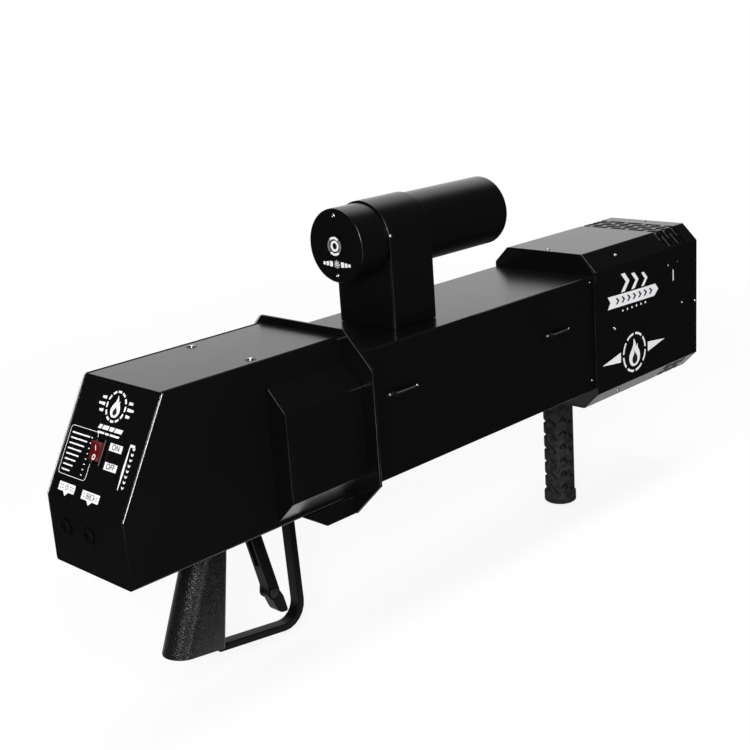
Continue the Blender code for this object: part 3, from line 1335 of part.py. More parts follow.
for old in list(bpy.data.objects):
    bpy.data.objects.remove(old, do_unlink=True)

BLACK = material("black_powder_coat", (0.020, 0.021, 0.022), 0.0, 0.42)
PLASTIC = material("black_plastic", (0.030, 0.031, 0.032), 0.0, 0.50)
GRIP = material("grained_plastic", (0.034, 0.035, 0.036), 0.0, 0.60)
RUBBER = material("black_rubber", (0.040, 0.042, 0.043), 0.0, 0.75)
RED = material("red_plastic", (0.60, 0.010, 0.015), 0.0, 0.30)
STEEL = material("zinc_plated_steel", (0.45, 0.45, 0.46), 1.0, 0.35)
ALUMINIUM = material("aluminium", (0.60, 0.61, 0.62), 1.0, 0.40)
CHROME = material("mirror_reflector", (0.85, 0.85, 0.86), 1.0, 0.05)
BRASS = material("brass", (0.70, 0.48, 0.20), 1.0, 0.35)
GLASS = material("lamp_glass", (0.80, 0.82, 0.84), 0.0, 0.05)
BOARD = material("circuit_board", (0.02, 0.16, 0.06), 0.0, 0.50)
BLUE = material("battery_wrap", (0.03, 0.10, 0.35), 0.0, 0.40)
CERAMIC = material("white_ceramic", (0.80, 0.78, 0.74), 0.0, 0.30)
CUTTER = material("cutter", (1.0, 0.3, 0.0), 0.0, 0.8)

middle_body()
collar_plate()
rear_housing()
rear_panel()
power_rocker()
sockets()
pods()
belly_cover()
nozzle_housing()
lamp_bracket()
lamp_tube()
mode_button()
pistol_grip()
trigger_guard()
trigger()
trigger_latch()
trigger_mechanism()
front_handle()
strap_loops()
battery()
control_board()
gas_supply()
valve_and_nozzle()
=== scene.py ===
import json
import math

import bmesh
import bpy
from mathutils import Matrix, Vector


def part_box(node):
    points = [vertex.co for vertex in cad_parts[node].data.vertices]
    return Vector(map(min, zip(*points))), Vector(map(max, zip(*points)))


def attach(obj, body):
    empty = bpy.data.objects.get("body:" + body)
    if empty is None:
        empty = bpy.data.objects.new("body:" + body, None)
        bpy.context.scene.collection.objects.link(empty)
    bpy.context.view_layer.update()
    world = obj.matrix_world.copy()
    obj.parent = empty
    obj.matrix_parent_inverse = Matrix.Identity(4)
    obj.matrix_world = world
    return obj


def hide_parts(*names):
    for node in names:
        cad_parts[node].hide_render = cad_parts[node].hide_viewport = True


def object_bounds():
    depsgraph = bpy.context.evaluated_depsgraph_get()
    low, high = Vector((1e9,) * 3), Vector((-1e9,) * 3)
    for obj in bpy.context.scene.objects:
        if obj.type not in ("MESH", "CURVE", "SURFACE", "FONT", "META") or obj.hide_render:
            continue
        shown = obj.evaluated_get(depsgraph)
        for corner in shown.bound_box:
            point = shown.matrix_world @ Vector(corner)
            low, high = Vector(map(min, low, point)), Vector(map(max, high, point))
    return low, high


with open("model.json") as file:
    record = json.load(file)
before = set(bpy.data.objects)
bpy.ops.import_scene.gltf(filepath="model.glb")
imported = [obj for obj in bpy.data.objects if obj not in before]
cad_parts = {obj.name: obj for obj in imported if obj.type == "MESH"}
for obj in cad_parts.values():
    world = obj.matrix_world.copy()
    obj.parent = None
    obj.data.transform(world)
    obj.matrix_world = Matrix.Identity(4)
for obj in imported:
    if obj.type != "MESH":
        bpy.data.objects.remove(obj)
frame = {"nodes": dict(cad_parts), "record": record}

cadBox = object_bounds()
scene = bpy.context.scene
scene.view_settings.view_transform = "Standard"
print("frame loaded:", len(frame["nodes"]), "nodes")


class Wire:  # a socket in a node tree, with arithmetic on it
    def __init__(self, finish, socket):
        self.finish = finish
        self.socket = socket

    def reckon(self, operation, first, second):
        return self.finish.add("ShaderNodeMath", {"operation": operation}, {0: first, 1: second})["Value"]

    def __add__(self, other):
        return self.reckon("ADD", self, other)

    def __sub__(self, other):
        return self.reckon("SUBTRACT", self, other)

    def __rsub__(self, other):
        return self.reckon("SUBTRACT", other, self)

    def __mul__(self, other):
        return self.reckon("MULTIPLY", self, other)

    __radd__, __rmul__ = __add__, __mul__  # a sum and a product are the same either way round

    def most(self, other):  # the larger of the two
        return self.reckon("MAXIMUM", self, other)

    def between(self, low, high):  # 0 below low, 1 above high, eased
        settings = {"interpolation_type": "SMOOTHSTEP"}
        inputs = {"Value": self, "From Min": low, "From Max": high}
        return self.finish.add("ShaderNodeMapRange", settings, inputs)["Result"]


class Finish:  # a material, or the world, whose nodes are added by one method
    def __init__(self, owner):
        owner.use_nodes = True
        self.owner = owner
        self.tree = owner.node_tree
        self.tree.nodes.clear()

    def add(self, kind, settings=None, inputs=None):
        node = self.tree.nodes.new(kind)
        for name, value in (settings or {}).items():
            setattr(node, name, value)
        for name, value in (inputs or {}).items():
            socket = node.inputs[name]
            if isinstance(value, Wire):
                self.tree.links.new(value.socket, socket)
            elif socket.type == "RGBA":
                socket.default_value = (*value, 1)
            else:
                socket.default_value = value
        return {socket.name: Wire(self, socket) for socket in node.outputs if socket.enabled}

    def vectors(self, operation, *values):  # Vector Math, whose one output is a vector or a number
        outputs = self.add("ShaderNodeVectorMath", {"operation": operation}, dict(enumerate(values)))
        return next(iter(outputs.values()))

    def mix(self, factor, first, second):  # of two colours
        return self.add("ShaderNodeMix", {"data_type": "RGBA"}, {0: factor, 6: first, 7: second})["Result"]

    def place(self):
        return self.add("ShaderNodeTexCoord")["Object"]

    def noise(self, scale, detail, roughness=0.5, vector=None):
        inputs = {"Vector": vector or self.place(), "Scale": scale, "Detail": detail, "Roughness": roughness}
        return self.add("ShaderNodeTexNoise", {}, inputs)["Fac"]

    def cells(self, scale, feature, vector=None):
        inputs = {"Vector": vector or self.place(), "Scale": scale}
        return self.add("ShaderNodeTexVoronoi", {"feature": feature}, inputs)["Distance"]

    def bump(self, height, depth, strength):
        inputs = {"Height": height, "Distance": depth, "Strength": strength}
        return self.add("ShaderNodeBump", {}, inputs)["Normal"]

    def shade(self, **inputs):  # the Principled shader: CoatWeight stands for its socket Coat Weight
        named = {}
        for name, value in inputs.items():
            spaced = "".join(" " + c if c.isupper() else c for c in name).strip()
            named[spaced.replace("I O R", "IOR")] = value
        shader = self.add("ShaderNodeBsdfPrincipled", {}, named)["BSDF"]
        self.add("ShaderNodeOutputMaterial", {}, {"Surface": shader})
        return self.owner


def newFinish(name):
    return Finish(bpy.data.materials.new(name))


def scaled(colour, share):
    return tuple(share * c for c in colour)


def speckled(name, look, **constants):  # two shades in clouds, and a grain in the gloss and in the bump
    finish = newFinish(name)
    grain = finish.noise(*look["grain"])
    dull, more = look["dull"]
    if "bump" in look:
        constants["Normal"] = finish.bump(grain, *look["bump"])
    colour = finish.mix(finish.noise(*look["cloud"]), look["dark"], look["pale"])
    return finish.shade(BaseColor=colour, Roughness=dull + more * grain, **constants)


def blackPowderCoat():
    look = {"black": (0.0018, 0.0019, 0.0020), "worn": 1.35, "dull": 0.20, "peel": 700, "peelDepth": 0.00005}
    coat = newFinish("blackPowderCoat")
    patches = coat.noise(14, 2)
    grit = coat.noise(3200, 1)
    colour = coat.mix(patches, look["black"], scaled(look["black"], look["worn"]))
    normal = coat.bump(coat.noise(look["peel"], 2) + grit * 0.35, look["peelDepth"], 0.4)
    return coat.shade(BaseColor=colour, Roughness=look["dull"] + patches * 0.03 + grit * 0.04, Normal=normal)


def smoothPlastic():
    look = {"dark": (0.0022, 0.0023, 0.0025), "pale": (0.0036, 0.0038, 0.0040), "cloud": (35, 2),
            "grain": (2400, 2), "dull": (0.28, 0.12), "bump": (0.00005, 0.6)}
    return speckled("smoothPlastic", look, SpecularIORLevel=0.06)


def grainedPlastic():  # the pistol grip's pebbles, with painted shade in the creases between them
    look = {"crease": (0.0034, 0.0036, 0.0038), "pebble": (0.0082, 0.0085, 0.0088), "bend": 0.0012,
            "relief": 0.00013, "dull": 0.23}
    plastic = newFinish("grainedPlastic")
    place = plastic.place()
    swirl = plastic.add("ShaderNodeTexNoise", {}, {"Vector": place, "Scale": 420.0, "Detail": 2.0})["Color"]
    bent = plastic.vectors("ADD", place, plastic.vectors("MULTIPLY", swirl, (look["bend"],) * 3))
    pebbles = plastic.cells(950, "SMOOTH_F1", bent)
    creases = plastic.cells(520, "DISTANCE_TO_EDGE", bent)
    height = creases.between(0.0, 0.22) * 0.7 - pebbles * 0.5
    # painted shade: the creases darker than the pebbles
    colour = plastic.mix(creases.between(0.0, 0.16), look["crease"], look["pebble"])
    rough = look["dull"] + pebbles * 0.08
    normal = plastic.bump(height, look["relief"], 0.9)
    return plastic.shade(BaseColor=colour, Roughness=rough, SpecularIORLevel=0.3, Normal=normal)


def blackRubber():
    look = {"dark": (0.0075, 0.0081, 0.0081), "pale": (0.0126, 0.0135, 0.0133), "cloud": (60, 3),
            "grain": (1600, 3), "dull": (0.60, 0.2), "bump": (0.00009, 0.7)}
    return speckled("blackRubber", look, SpecularIORLevel=0.25)


def darkFold():  # painted shade along the bends of the rear housing's top
    look = {"dark": (0.0014, 0.0015, 0.0015), "pale": (0.0026, 0.0027, 0.0028), "cloud": (60, 2),
            "grain": (60, 2), "dull": (0.62, 0.08)}
    return speckled("darkFold", look, SpecularIORLevel=0.02)


def redPlastic():
    look = {"dark": (0.066, 0.0014, 0.0026), "pale": (0.105, 0.0022, 0.0036), "cloud": (500, 2),
            "grain": (500, 2), "dull": (0.24, 0.1), "bump": (0.00003, 0.4)}
    return speckled("redPlastic", look)


def batteryWrap():
    look = {"dark": (0.02, 0.08, 0.30), "pale": (0.03, 0.11, 0.40), "cloud": (25, 4),
            "grain": (25, 4), "dull": (0.28, 0.2), "bump": (0.0006, 0.5)}
    return speckled("batteryWrap", look)


def whiteCeramic():
    look = {"dark": (0.74, 0.71, 0.66), "pale": (0.82, 0.80, 0.76), "cloud": (300, 3),
            "grain": (300, 3), "dull": (0.22, 0.12)}
    return speckled("whiteCeramic", look, CoatWeight=0.3)


def plainMetal(name, colour, dull, streaks):  # drawn along the gun, which leaves fine streaks
    metal = newFinish(name)
    stretch = metal.add("ShaderNodeMapping", {}, {"Vector": metal.place(), "Scale": (60, 900, 900)})["Vector"]
    grain = metal.noise(1.0, 3, 0.6, stretch)
    cloud = metal.noise(90, 3)
    shade = metal.mix(cloud, scaled(colour, 0.82), colour)
    rough = dull + 0.14 * cloud + streaks * grain
    return metal.shade(BaseColor=shade, Metallic=1.0, Roughness=rough, Normal=metal.bump(grain, 0.00003, 0.4))


# a flat screened colour, for print and for painted light and shade
def inkAndPaintedLight(name, colour, thin):  # thin is the share of the colour where the coat is thin
    ink = newFinish(name)
    screen = ink.noise(1800, 2)
    shade = ink.mix(screen.between(0.30, 0.55), scaled(colour, thin), colour)
    return ink.shade(BaseColor=shade, Roughness=0.45 + 0.1 * screen, Normal=ink.bump(screen, 0.00002, 0.4))


def lampGlass():
    glass = newFinish("lampGlass")
    rough = 0.02 + 0.05 * glass.noise(40, 3)
    return glass.shade(BaseColor=(0.93, 0.95, 0.96), Roughness=rough, TransmissionWeight=1.0, IOR=1.5)


def mirrorReflector():
    mirror = newFinish("mirrorReflector")
    rough = 0.04 + 0.08 * mirror.noise(120, 3)
    normal = mirror.bump(mirror.cells(260, "SMOOTH_F1"), 0.0002, 0.3)
    return mirror.shade(BaseColor=(0.88, 0.88, 0.89), Metallic=1.0, Roughness=rough, Normal=normal)


def circuitBoard():
    look = {"Color1": (0.012, 0.13, 0.045), "Color2": (0.018, 0.17, 0.06), "Mortar": (0.05, 0.26, 0.10),
            "Scale": 140.0, "Mortar Size": 0.06}
    board = newFinish("circuitBoard")
    tracks = board.add("ShaderNodeTexBrick", {"offset": 0.4}, {"Vector": board.place(), **look})["Color"]
    weave = board.noise(700, 2)
    normal = board.bump(weave, 0.00004, 0.5)
    return board.shade(BaseColor=tracks, Roughness=0.35 + 0.15 * weave, Normal=normal)


finishes = {
    "black_powder_coat": blackPowderCoat(),
    "black_plastic": smoothPlastic(),
    "grained_plastic": grainedPlastic(),
    "black_rubber": blackRubber(),
    "red_plastic": redPlastic(),
    "zinc_plated_steel": plainMetal("zincSteel", (0.56, 0.56, 0.57), 0.26, 0.12),
    "aluminium": plainMetal("drawnAluminium", (0.62, 0.63, 0.64), 0.30, 0.20),
    "mirror_reflector": mirrorReflector(),
    "brass": plainMetal("turnedBrass", (0.66, 0.45, 0.19), 0.26, 0.12),
    "lamp_glass": lampGlass(),
    "circuit_board": circuitBoard(),
    "battery_wrap": batteryWrap(),
    "white_ceramic": whiteCeramic(),
}
# white print, also used as painted reflection on the push button's bezel
whiteInkAndGleam = inkAndPaintedLight("whiteInkAndGleam", (0.80, 0.80, 0.82), 0.88)
# grey painted highlight and reflection, for the slots' rims and the sides of the push button's bezel
paintedGleamGrey = inkAndPaintedLight("paintedGleamGrey", (0.17, 0.17, 0.18), 0.7)
darkInk = inkAndPaintedLight("darkInk", (0.010, 0.010, 0.011), 0.8)
# pale painted light in the openings of the sides
paintedOpeningLight = inkAndPaintedLight("paintedOpeningLight", (0.70, 0.70, 0.71), 0.85)
# near black painted shade, behind the chamfer slots and round the two screws on top
paintedShadeBlack = inkAndPaintedLight("paintedShadeBlack", (0.0045, 0.0044, 0.0042), 0.6)
# pale grey painted light, under the roof slots and along the rocker's frame
paintedLightGrey = inkAndPaintedLight("paintedLightGrey", (0.11, 0.11, 0.108), 0.7)
# grey painted highlight on the strap loops
loopGleamGrey = inkAndPaintedLight("loopGleamGrey", (0.05, 0.05, 0.05), 0.5)
screwSteel = plainMetal("screwSteel", (0.72, 0.72, 0.73), 0.14, 0.08)
bareEdge = plainMetal("bareEdge", (0.11, 0.11, 0.115), 0.24, 0.10)
shadedFold = darkFold()

slotOf = {part["node"]: part["material_slot"] for part in frame["record"]["subparts"]}
bodyOf = {node: body for body, nodes in frame["record"]["behaviour"]["bodies"].items() for node in nodes}
for name, node in frame["nodes"].items():
    node.data.materials.clear()
    node.data.materials.append(finishes[slotOf[name]])
print("finishes made and given to the nodes")


def linked(name, data):  # a new object in the scene
    item = bpy.data.objects.new(name, data)
    scene.collection.objects.link(item)
    return item


def settled(item):  # its mesh with curves and modifiers worked out
    bpy.context.view_layer.update()
    return bpy.data.meshes.new_from_object(item.evaluated_get(bpy.context.evaluated_depsgraph_get()))


def meshFrom(form, name):
    mesh = bpy.data.meshes.new(name)
    form.to_mesh(mesh)
    form.free()
    return mesh


def keepPiece(name, mesh, finish, body="gun", nodes=()):
    mesh.materials.clear()
    mesh.materials.append(finish)
    piece = linked(name, mesh)
    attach(piece, body)
    if nodes:
        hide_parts(*nodes)
    return piece


def keepForm(name, form, finish, body="gun", nodes=()):
    bmesh.ops.recalc_face_normals(form, faces=form.faces)
    return keepPiece(name, meshFrom(form, name), finish, body, nodes)


def easeEdges(piece, width=0.0, angle=32):  # rounds sharp edges and shades the rest smooth
    if width:
        bevel = piece.modifiers.new("easedEdges", "BEVEL")
        bevel.width = width
        bevel.segments = 2
        bevel.limit_method = "ANGLE"
        bevel.angle_limit = math.radians(angle)
    piece.data.shade_smooth()
    piece.data.set_sharp_from_angle(angle=math.radians(angle))
    weighted = piece.modifiers.new("flatFaces", "WEIGHTED_NORMAL")
    weighted.keep_sharp = True


def carve(piece, form):  # cuts the form out of the piece's mesh
    bmesh.ops.recalc_face_normals(form, faces=form.faces)
    cutter = linked("cutter", meshFrom(form, "cutter"))
    boolean = piece.modifiers.new("carve", "BOOLEAN")
    boolean.operation = "DIFFERENCE"
    boolean.solver = "EXACT"
    boolean.object = cutter
    carved = settled(piece)
    piece.modifiers.clear()
    finish = piece.data.materials[0]
    carved.materials.clear()
    carved.materials.append(finish)
    piece.data = carved
    bpy.data.objects.remove(cutter)


def camel(node):
    first, *rest = node.split("_")
    return first + "".join(word.capitalize() for word in rest)


def refined(node, edge, grooves=None, slot=None):  # the node's own form with eased edges, after any grooves
    form = bmesh.new()
    form.from_mesh(frame["nodes"][node].data)
    bmesh.ops.remove_doubles(form, verts=form.verts, dist=0.00001)
    bmesh.ops.dissolve_limit(form, angle_limit=math.radians(0.5), verts=form.verts, edges=form.edges)
    slot = slot or slotOf[node]
    piece = keepPiece(camel(node), meshFrom(form, camel(node)), finishes[slot], bodyOf[node], [node])
    if grooves:
        carve(piece, grooves)
    easeEdges(piece, edge)
    return piece


def remade(node, form, angle=32):  # a new form in the node's place
    slot = slotOf[node]
    piece = keepForm(camel(node), form, finishes[slot], bodyOf[node], [node])
    easeEdges(piece, 0.0, angle)
    return piece


def turned(profile, matrix, steps):  # a form of its own
    form = bmesh.new()
    addTurned(form, profile, matrix, steps)
    return form


def about(along, radius, *steps):  # points of a profile about one point, in tenths of a millimetre
    return [(along + a / 10000, radius + b / 10000) for a, b in steps]


def addPrism(form, outline, low, high, matrix=Matrix.Identity(4)):  # low and high are out of its plane
    bottom = [form.verts.new(matrix @ Vector((u, v, low))) for u, v in outline]
    top = [form.verts.new(matrix @ Vector((u, v, high))) for u, v in outline]
    form.faces.new(bottom[::-1])
    form.faces.new(top)
    for i in range(len(outline)):
        form.faces.new((bottom[i - 1], bottom[i], top[i], top[i - 1]))


def joinRings(form, rings, steps):  # the last ring is joined to the first
    for i in range(len(rings)):
        first, second = rings[i - 1], rings[i]
        if len(first) == 1 and len(second) == 1:
            continue
        for j in range(steps):
            corners = [first[j % len(first)], first[(j + 1) % len(first)]]
            corners += [second[(j + 1) % len(second)], second[j % len(second)]]
            form.faces.new(list(dict.fromkeys(corners)))


def addTurned(form, profile, matrix, steps):  # a closed profile of (along, radius) round the matrix's Z
    turns = [math.tau * i / steps for i in range(steps)]
    rings = []
    for along, radius in profile:
        if radius < 1e-7:
            rings.append([form.verts.new(matrix @ Vector((0, 0, along)))])
            continue
        points = [Vector((radius * math.cos(turn), radius * math.sin(turn), along)) for turn in turns]
        rings.append([form.verts.new(matrix @ point) for point in points])
    joinRings(form, rings, steps)


def arcPoints(centre, radius, start, end, steps):
    turns = [math.radians(start + (end - start) * i / steps) for i in range(steps + 1)]
    return [(centre[0] + radius * math.cos(t), centre[1] + radius * math.sin(t)) for t in turns]


def arcBand(inner, outer, start, end, steps):  # a piece of a flat ring
    return arcPoints((0, 0), outer, start, end, steps) + arcPoints((0, 0), inner, end, start, steps)


def brokenRing(inner, outer, count, start, end, steps):  # the first piece runs from start to end, in degrees
    turns = [360 / count * i for i in range(count)]
    return [arcBand(inner, outer, turn + start, turn + end, steps) for turn in turns]


def plainBox(u0, v0, u1, v1):
    return [(u0, v0), (u1, v0), (u1, v1), (u0, v1)]


def roundedBox(u0, v0, u1, v1, radius, steps=4):
    corners = ((u1, v0, -90), (u1, v1, 0), (u0, v1, 90), (u0, v0, 180))
    points = []
    for u, v, start in corners:
        centre = (u + math.copysign(radius, u0 + u1 - 2 * u), v + math.copysign(radius, v0 + v1 - 2 * v))
        points += arcPoints(centre, radius, start, start + 90, steps)
    return points


def lineBands(path, width, closed=False):  # four-sided pieces along a line
    count = len(path)
    left, right = [], []
    for i, (u, v) in enumerate(path):
        before = path[i - 1] if i or closed else path[i]
        after = path[(i + 1) % count] if i < count - 1 or closed else path[i]
        sides = [Vector((u, v)) - Vector(before), Vector(after) - Vector((u, v))]
        normals = [Vector((-side.y, side.x)).normalized() for side in sides if side.length > 1e-9]
        mitre = sum(normals, Vector((0, 0))).normalized()
        reach = width / 2 / max(mitre.dot(normals[0]), 0.4)
        left.append((u + mitre.x * reach, v + mitre.y * reach))
        right.append((u - mitre.x * reach, v - mitre.y * reach))
    pairs = [(i, (i + 1) % count) for i in range(count if closed else count - 1)]
    return [[right[i], right[j], left[j], left[i]] for i, j in pairs]


def moved(outline, u, v, scale=1.0, lean=0.0):
    return [(u + scale * (a + lean * b), v + scale * b) for a, b in outline]


def frameOf(place, right, up):  # a matrix whose X is right, Y is up and Z is out of the face
    right, up = Vector(right).normalized(), Vector(up).normalized()
    turn = Matrix((right, up, right.cross(up))).transposed().to_4x4()
    return Matrix.Translation(place) @ turn


def facing(place, out):  # a matrix at the place whose Z is the way out of the face
    out = Vector(out).normalized()
    side = Vector((0, 0, 1)) if abs(out.z) < 0.9 else Vector((1, 0, 0))
    right = side.cross(out).normalized()
    return frameOf(place, right, out.cross(right))


alongGun = frameOf((0, 0, 0), (0, 1, 0), (0, 0, 1))  # its Z is the gun's X
cameraView = {"place": (-0.89816, -0.82107, 0.40957), "yaw": -44.566, "pitch": 16.221, "roll": -4.072,
              "lens": 61.62, "sensor": 36, "nearest": 0.05}


def addCamera():
    data = bpy.data.cameras.new("camera")
    data.lens = cameraView["lens"]
    data.sensor_width = cameraView["sensor"]
    data.clip_start = cameraView["nearest"]
    camera = linked("camera", data)
    yaw, pitch, roll = (math.radians(cameraView[name]) for name in ("yaw", "pitch", "roll"))
    level = Matrix.Rotation(yaw, 4, "Z") @ Matrix.Rotation(math.pi / 2 - pitch, 4, "X")
    camera.matrix_world = Matrix.Translation(cameraView["place"]) @ level @ Matrix.Rotation(roll, 4, "Z")
    scene.camera = camera


studio = {"backdrop": (0.68, 0.68, 0.28), "edge": (0.66, 0.93), "dark": 0.02, "fill": 0.50}


def addWorld():  # white to the camera, a soft fill, and for gloss a white backdrop on one side
    world = bpy.data.worlds.new("studio")
    scene.world = world
    sky = Finish(world)
    rays = sky.add("ShaderNodeLightPath")
    direction = sky.add("ShaderNodeTexCoord")["Generated"]
    towards = sky.vectors("DOT_PRODUCT", direction, Vector(studio["backdrop"]).normalized())
    backdrop = studio["dark"] + towards.between(*studio["edge"]) * (1 - studio["dark"])
    seen = rays["Is Camera Ray"].most(rays["Is Transmission Ray"])
    gloss = rays["Is Glossy Ray"]
    level = seen + (1 - seen) * (gloss * backdrop + (1 - gloss) * studio["fill"])
    shader = sky.add("ShaderNodeBackground", {}, {"Color": (1, 1, 1), "Strength": level})["Background"]
    sky.add("ShaderNodeOutputWorld", {}, {"Surface": shader})


floorShape = {"drop": 0.0007, "thick": 0.004, "rear": -0.50, "near": -0.09, "front": 1.6, "far": 1.8,
              "corner": 0.05}
floorLook = {"shade": 0.16, "rearFade": (0.01, 0.07), "nearFade": (0.005, 0.06), "frontFade": (0.7, 1.4),
             "farFade": (0.6, 1.5), "paper": (0.86, 0.86, 0.86), "dimmed": (0.25, 0.25, 0.25),
             "behind": (-0.44, -0.26), "beyond": (0.06, 0.18), "beyondEnd": (0.05, 0.25), "beyondShare": 0.8,
             "ahead": (-0.02, 0.16), "aheadShare": 0.6}


def addFloor():
    level = cadBox[0][2] - floorShape["drop"]
    rear, near = floorShape["rear"], floorShape["near"]
    outline = roundedBox(rear, near, floorShape["front"], floorShape["far"], floorShape["corner"], 12)
    form = bmesh.new()
    addPrism(form, outline, level - floorShape["thick"], level)
    bmesh.ops.recalc_face_normals(form, faces=form.faces)
    floor = linked("floor", meshFrom(form, "floor"))
    floor.data.materials.append(whitePaper(rear, near))


def whitePaper(rear, near):  # white where it is seen, but for the shadow that it keeps round the object
    look = floorLook
    paper = newFinish("whitePaper")
    rays = paper.add("ShaderNodeLightPath")
    seen = rays["Is Camera Ray"].most(rays["Is Transmission Ray"]).most(rays["Is Glossy Ray"])
    x, y, _ = paper.add("ShaderNodeSeparateXYZ", {}, {"Vector": paper.place()}).values()
    inside = x.between(*(rear + step for step in look["rearFade"]))
    inside = inside * y.between(*(near + step for step in look["nearFade"]))
    inside = inside * (1 - x.between(*look["frontFade"])) * (1 - y.between(*look["farFade"]))
    behind = 1 - x.between(*look["behind"])  # gloss sees a darker floor in these three parts
    beyond = y.between(*look["beyond"]) * (1 - x.between(*look["beyondEnd"]))
    ahead = x.between(*look["ahead"])
    dimmed = behind.most(beyond * look["beyondShare"]).most(ahead * look["aheadShare"])
    colour = paper.mix(rays["Is Glossy Ray"] * dimmed, (1, 1, 1), look["dimmed"])
    white = paper.add("ShaderNodeEmission", {}, {"Color": colour, "Strength": 1.0})["Emission"]
    matte = paper.add("ShaderNodeBsdfDiffuse", {}, {"Color": look["paper"]})["BSDF"]
    share = seen * (1 - look["shade"] * inside)
    mixed = paper.add("ShaderNodeMixShader", {}, {0: share, 1: matte, 2: white})["Shader"]
    paper.add("ShaderNodeOutputMaterial", {}, {"Surface": mixed})
    return paper.owner


lamps = {
    "keyLamp": {"place": (-1.1, -1.6, 1.7), "aim": (0, 0, 0.1), "size": (0.9, 0.9), "power": 14},
    "topLamp": {"place": (0.3, 0.6, 2.2), "aim": (0, 0, 0.1), "size": (1.4, 1.4), "power": 22},
    "sideLamp": {"place": (-0.9, -2.2, 0.25), "aim": (-0.2, 0, 0), "size": (0.25, 0.9), "power": 4},
    "edgeLamp": {"place": (-1.42, -0.99, 0.65), "aim": (-0.2, 0, 0.05), "size": (0.45, 0.45), "power": 22},
    "gripLamp": {"place": (-0.39, -1.14, -0.46), "aim": (-0.31, 0, -0.05), "size": (0.07, 0.45),
                 "power": 2.2},
}


def addLamps():
    for name, lamp in lamps.items():
        data = bpy.data.lights.new(name, "AREA")
        data.shape = "RECTANGLE"
        data.size, data.size_y = lamp["size"]
        data.energy = lamp["power"]
        light = linked(name, data)
        light.location = lamp["place"]
        towards = Vector(lamp["aim"]) - Vector(lamp["place"])
        light.rotation_euler = towards.to_track_quat("-Z", "Y").to_euler()
        light.visible_camera = False


addCamera()
addWorld()
addFloor()
addLamps()
print("camera, floor and lamps placed")


edgeWidths = {  # how far the edges of each sheet and moulding are rounded
    "rear_shell": 0.0007, "control_panel": 0.0003, "left_pod": 0.00035, "right_pod": 0.00035,
    "belly_cover": 0.0004, "collar_plate": 0.0006, "middle_body": 0.0003,
    "cowl_back_plate": 0.0003, "muzzle_frame": 0.0004, "nozzle_plate": 0.0003, "lamp_bracket": 0.0005,
    "bracket_rear_wall": 0.0003, "bracket_front_wall": 0.0003,
    "trigger_guard": 0.0, "grip_left": 0.0, "grip_right": 0.0, "trigger_latch": 0.0008,
    "front_strap_loop": 0.0004, "rear_strap_loop": 0.0004,
    "flame_nozzle": 0.0003, "left_electrode": 0.0002, "right_electrode": 0.0002, "lamp_bezel": 0.0003,
    "led_board": 0.0002, "power_socket": 0.0004, "charge_socket": 0.0004,
}
for node, width in edgeWidths.items():
    refined(node, width)
refined("latch_pin", 0.0002, slot="black_powder_coat")
print("sheet metal and mouldings refined:", len(edgeWidths) + 1)


cowlShape = {"muzzle": 0.3693, "half": 0.066, "chamfer": 0.018, "top": 0.144, "height": 0.167,
             "sheet": 0.0015, "edge": 0.00025}
ventShape = {"rows": 5, "pitch": 0.0085, "wide": 0.0064, "long": 0.0202, "bridge": 0.0038, "toMuzzle": 0.0235}
linerShape = {"rear": 0.3018, "front": 0.3570, "foot": 0.1175, "depths": (0.0030, 0.0038), "gap": 0.0001}
ventGleamShape = {"off": 0.0002, "half": 0.00022, "deep": -0.0001, "proud": 0.00008,
            "ends": ((0.0005, 0.0130), (0.0075, 0.0030))}  # by turns, from the folds above and below
openingLightShape = {"bar": (0.3203, 0.0651, 0.0945), "half": (0.00125, 0.0064), "round": 0.0004, "deep": -0.0004,
               "proud": 0.0007, "dot": (0.3106, 0.0655, 0.1075), "radius": 0.0013, "rise": 0.0004}


def ventRow(row):  # the middle of the row, along the gun
    return cowlShape["muzzle"] - ventShape["toMuzzle"] - row * ventShape["pitch"]


def ventSlot(form, x, low, high):  # from low to high round the housing's skin, in its roof and in its floor
    shape = cowlShape
    fold = shape["half"] - shape["chamfer"]
    middle = shape["top"] - shape["height"] / 2
    stations = [low] + [s for s in (-fold, fold) if low < s < high] + [high]
    half = ventShape["wide"] / 2
    for sign in (1, -1):
        outer, inner = [], []
        for s in stations:
            side = math.copysign(1, s)
            over = max(abs(s) - fold, 0) / math.sqrt(2)
            point = Vector((side * (min(abs(s), fold) + over), middle + sign * (shape["height"] / 2 - over)))
            lean = math.tan(math.pi / 8) if abs(s) == fold else float(abs(s) > fold)
            away = Vector((side * lean, sign)) * 3 * shape["sheet"]
            outer.append(tuple(point + away))
            inner.append(tuple(point - away))
        addPrism(form, outer + inner[::-1], x - half, x + half, alongGun)


def addCowl():  # the nozzle housing with its rows of staggered slots
    long, bridge = ventShape["long"], ventShape["bridge"]
    reach = cowlShape["half"] + cowlShape["chamfer"] * (math.sqrt(2) - 1)
    form = bmesh.new()
    for row in range(ventShape["rows"]):
        for i in range(-4, 5):
            middle = (i + 0.5 * (row % 2)) * (long + bridge)
            low = max(middle - long / 2, bridge / 2 - reach)
            high = min(middle + long / 2, reach - bridge / 2)
            if high - low > ventShape["wide"]:
                ventSlot(form, ventRow(row), low, high)
    refined("nozzle_cowl", cowlShape["edge"], form)


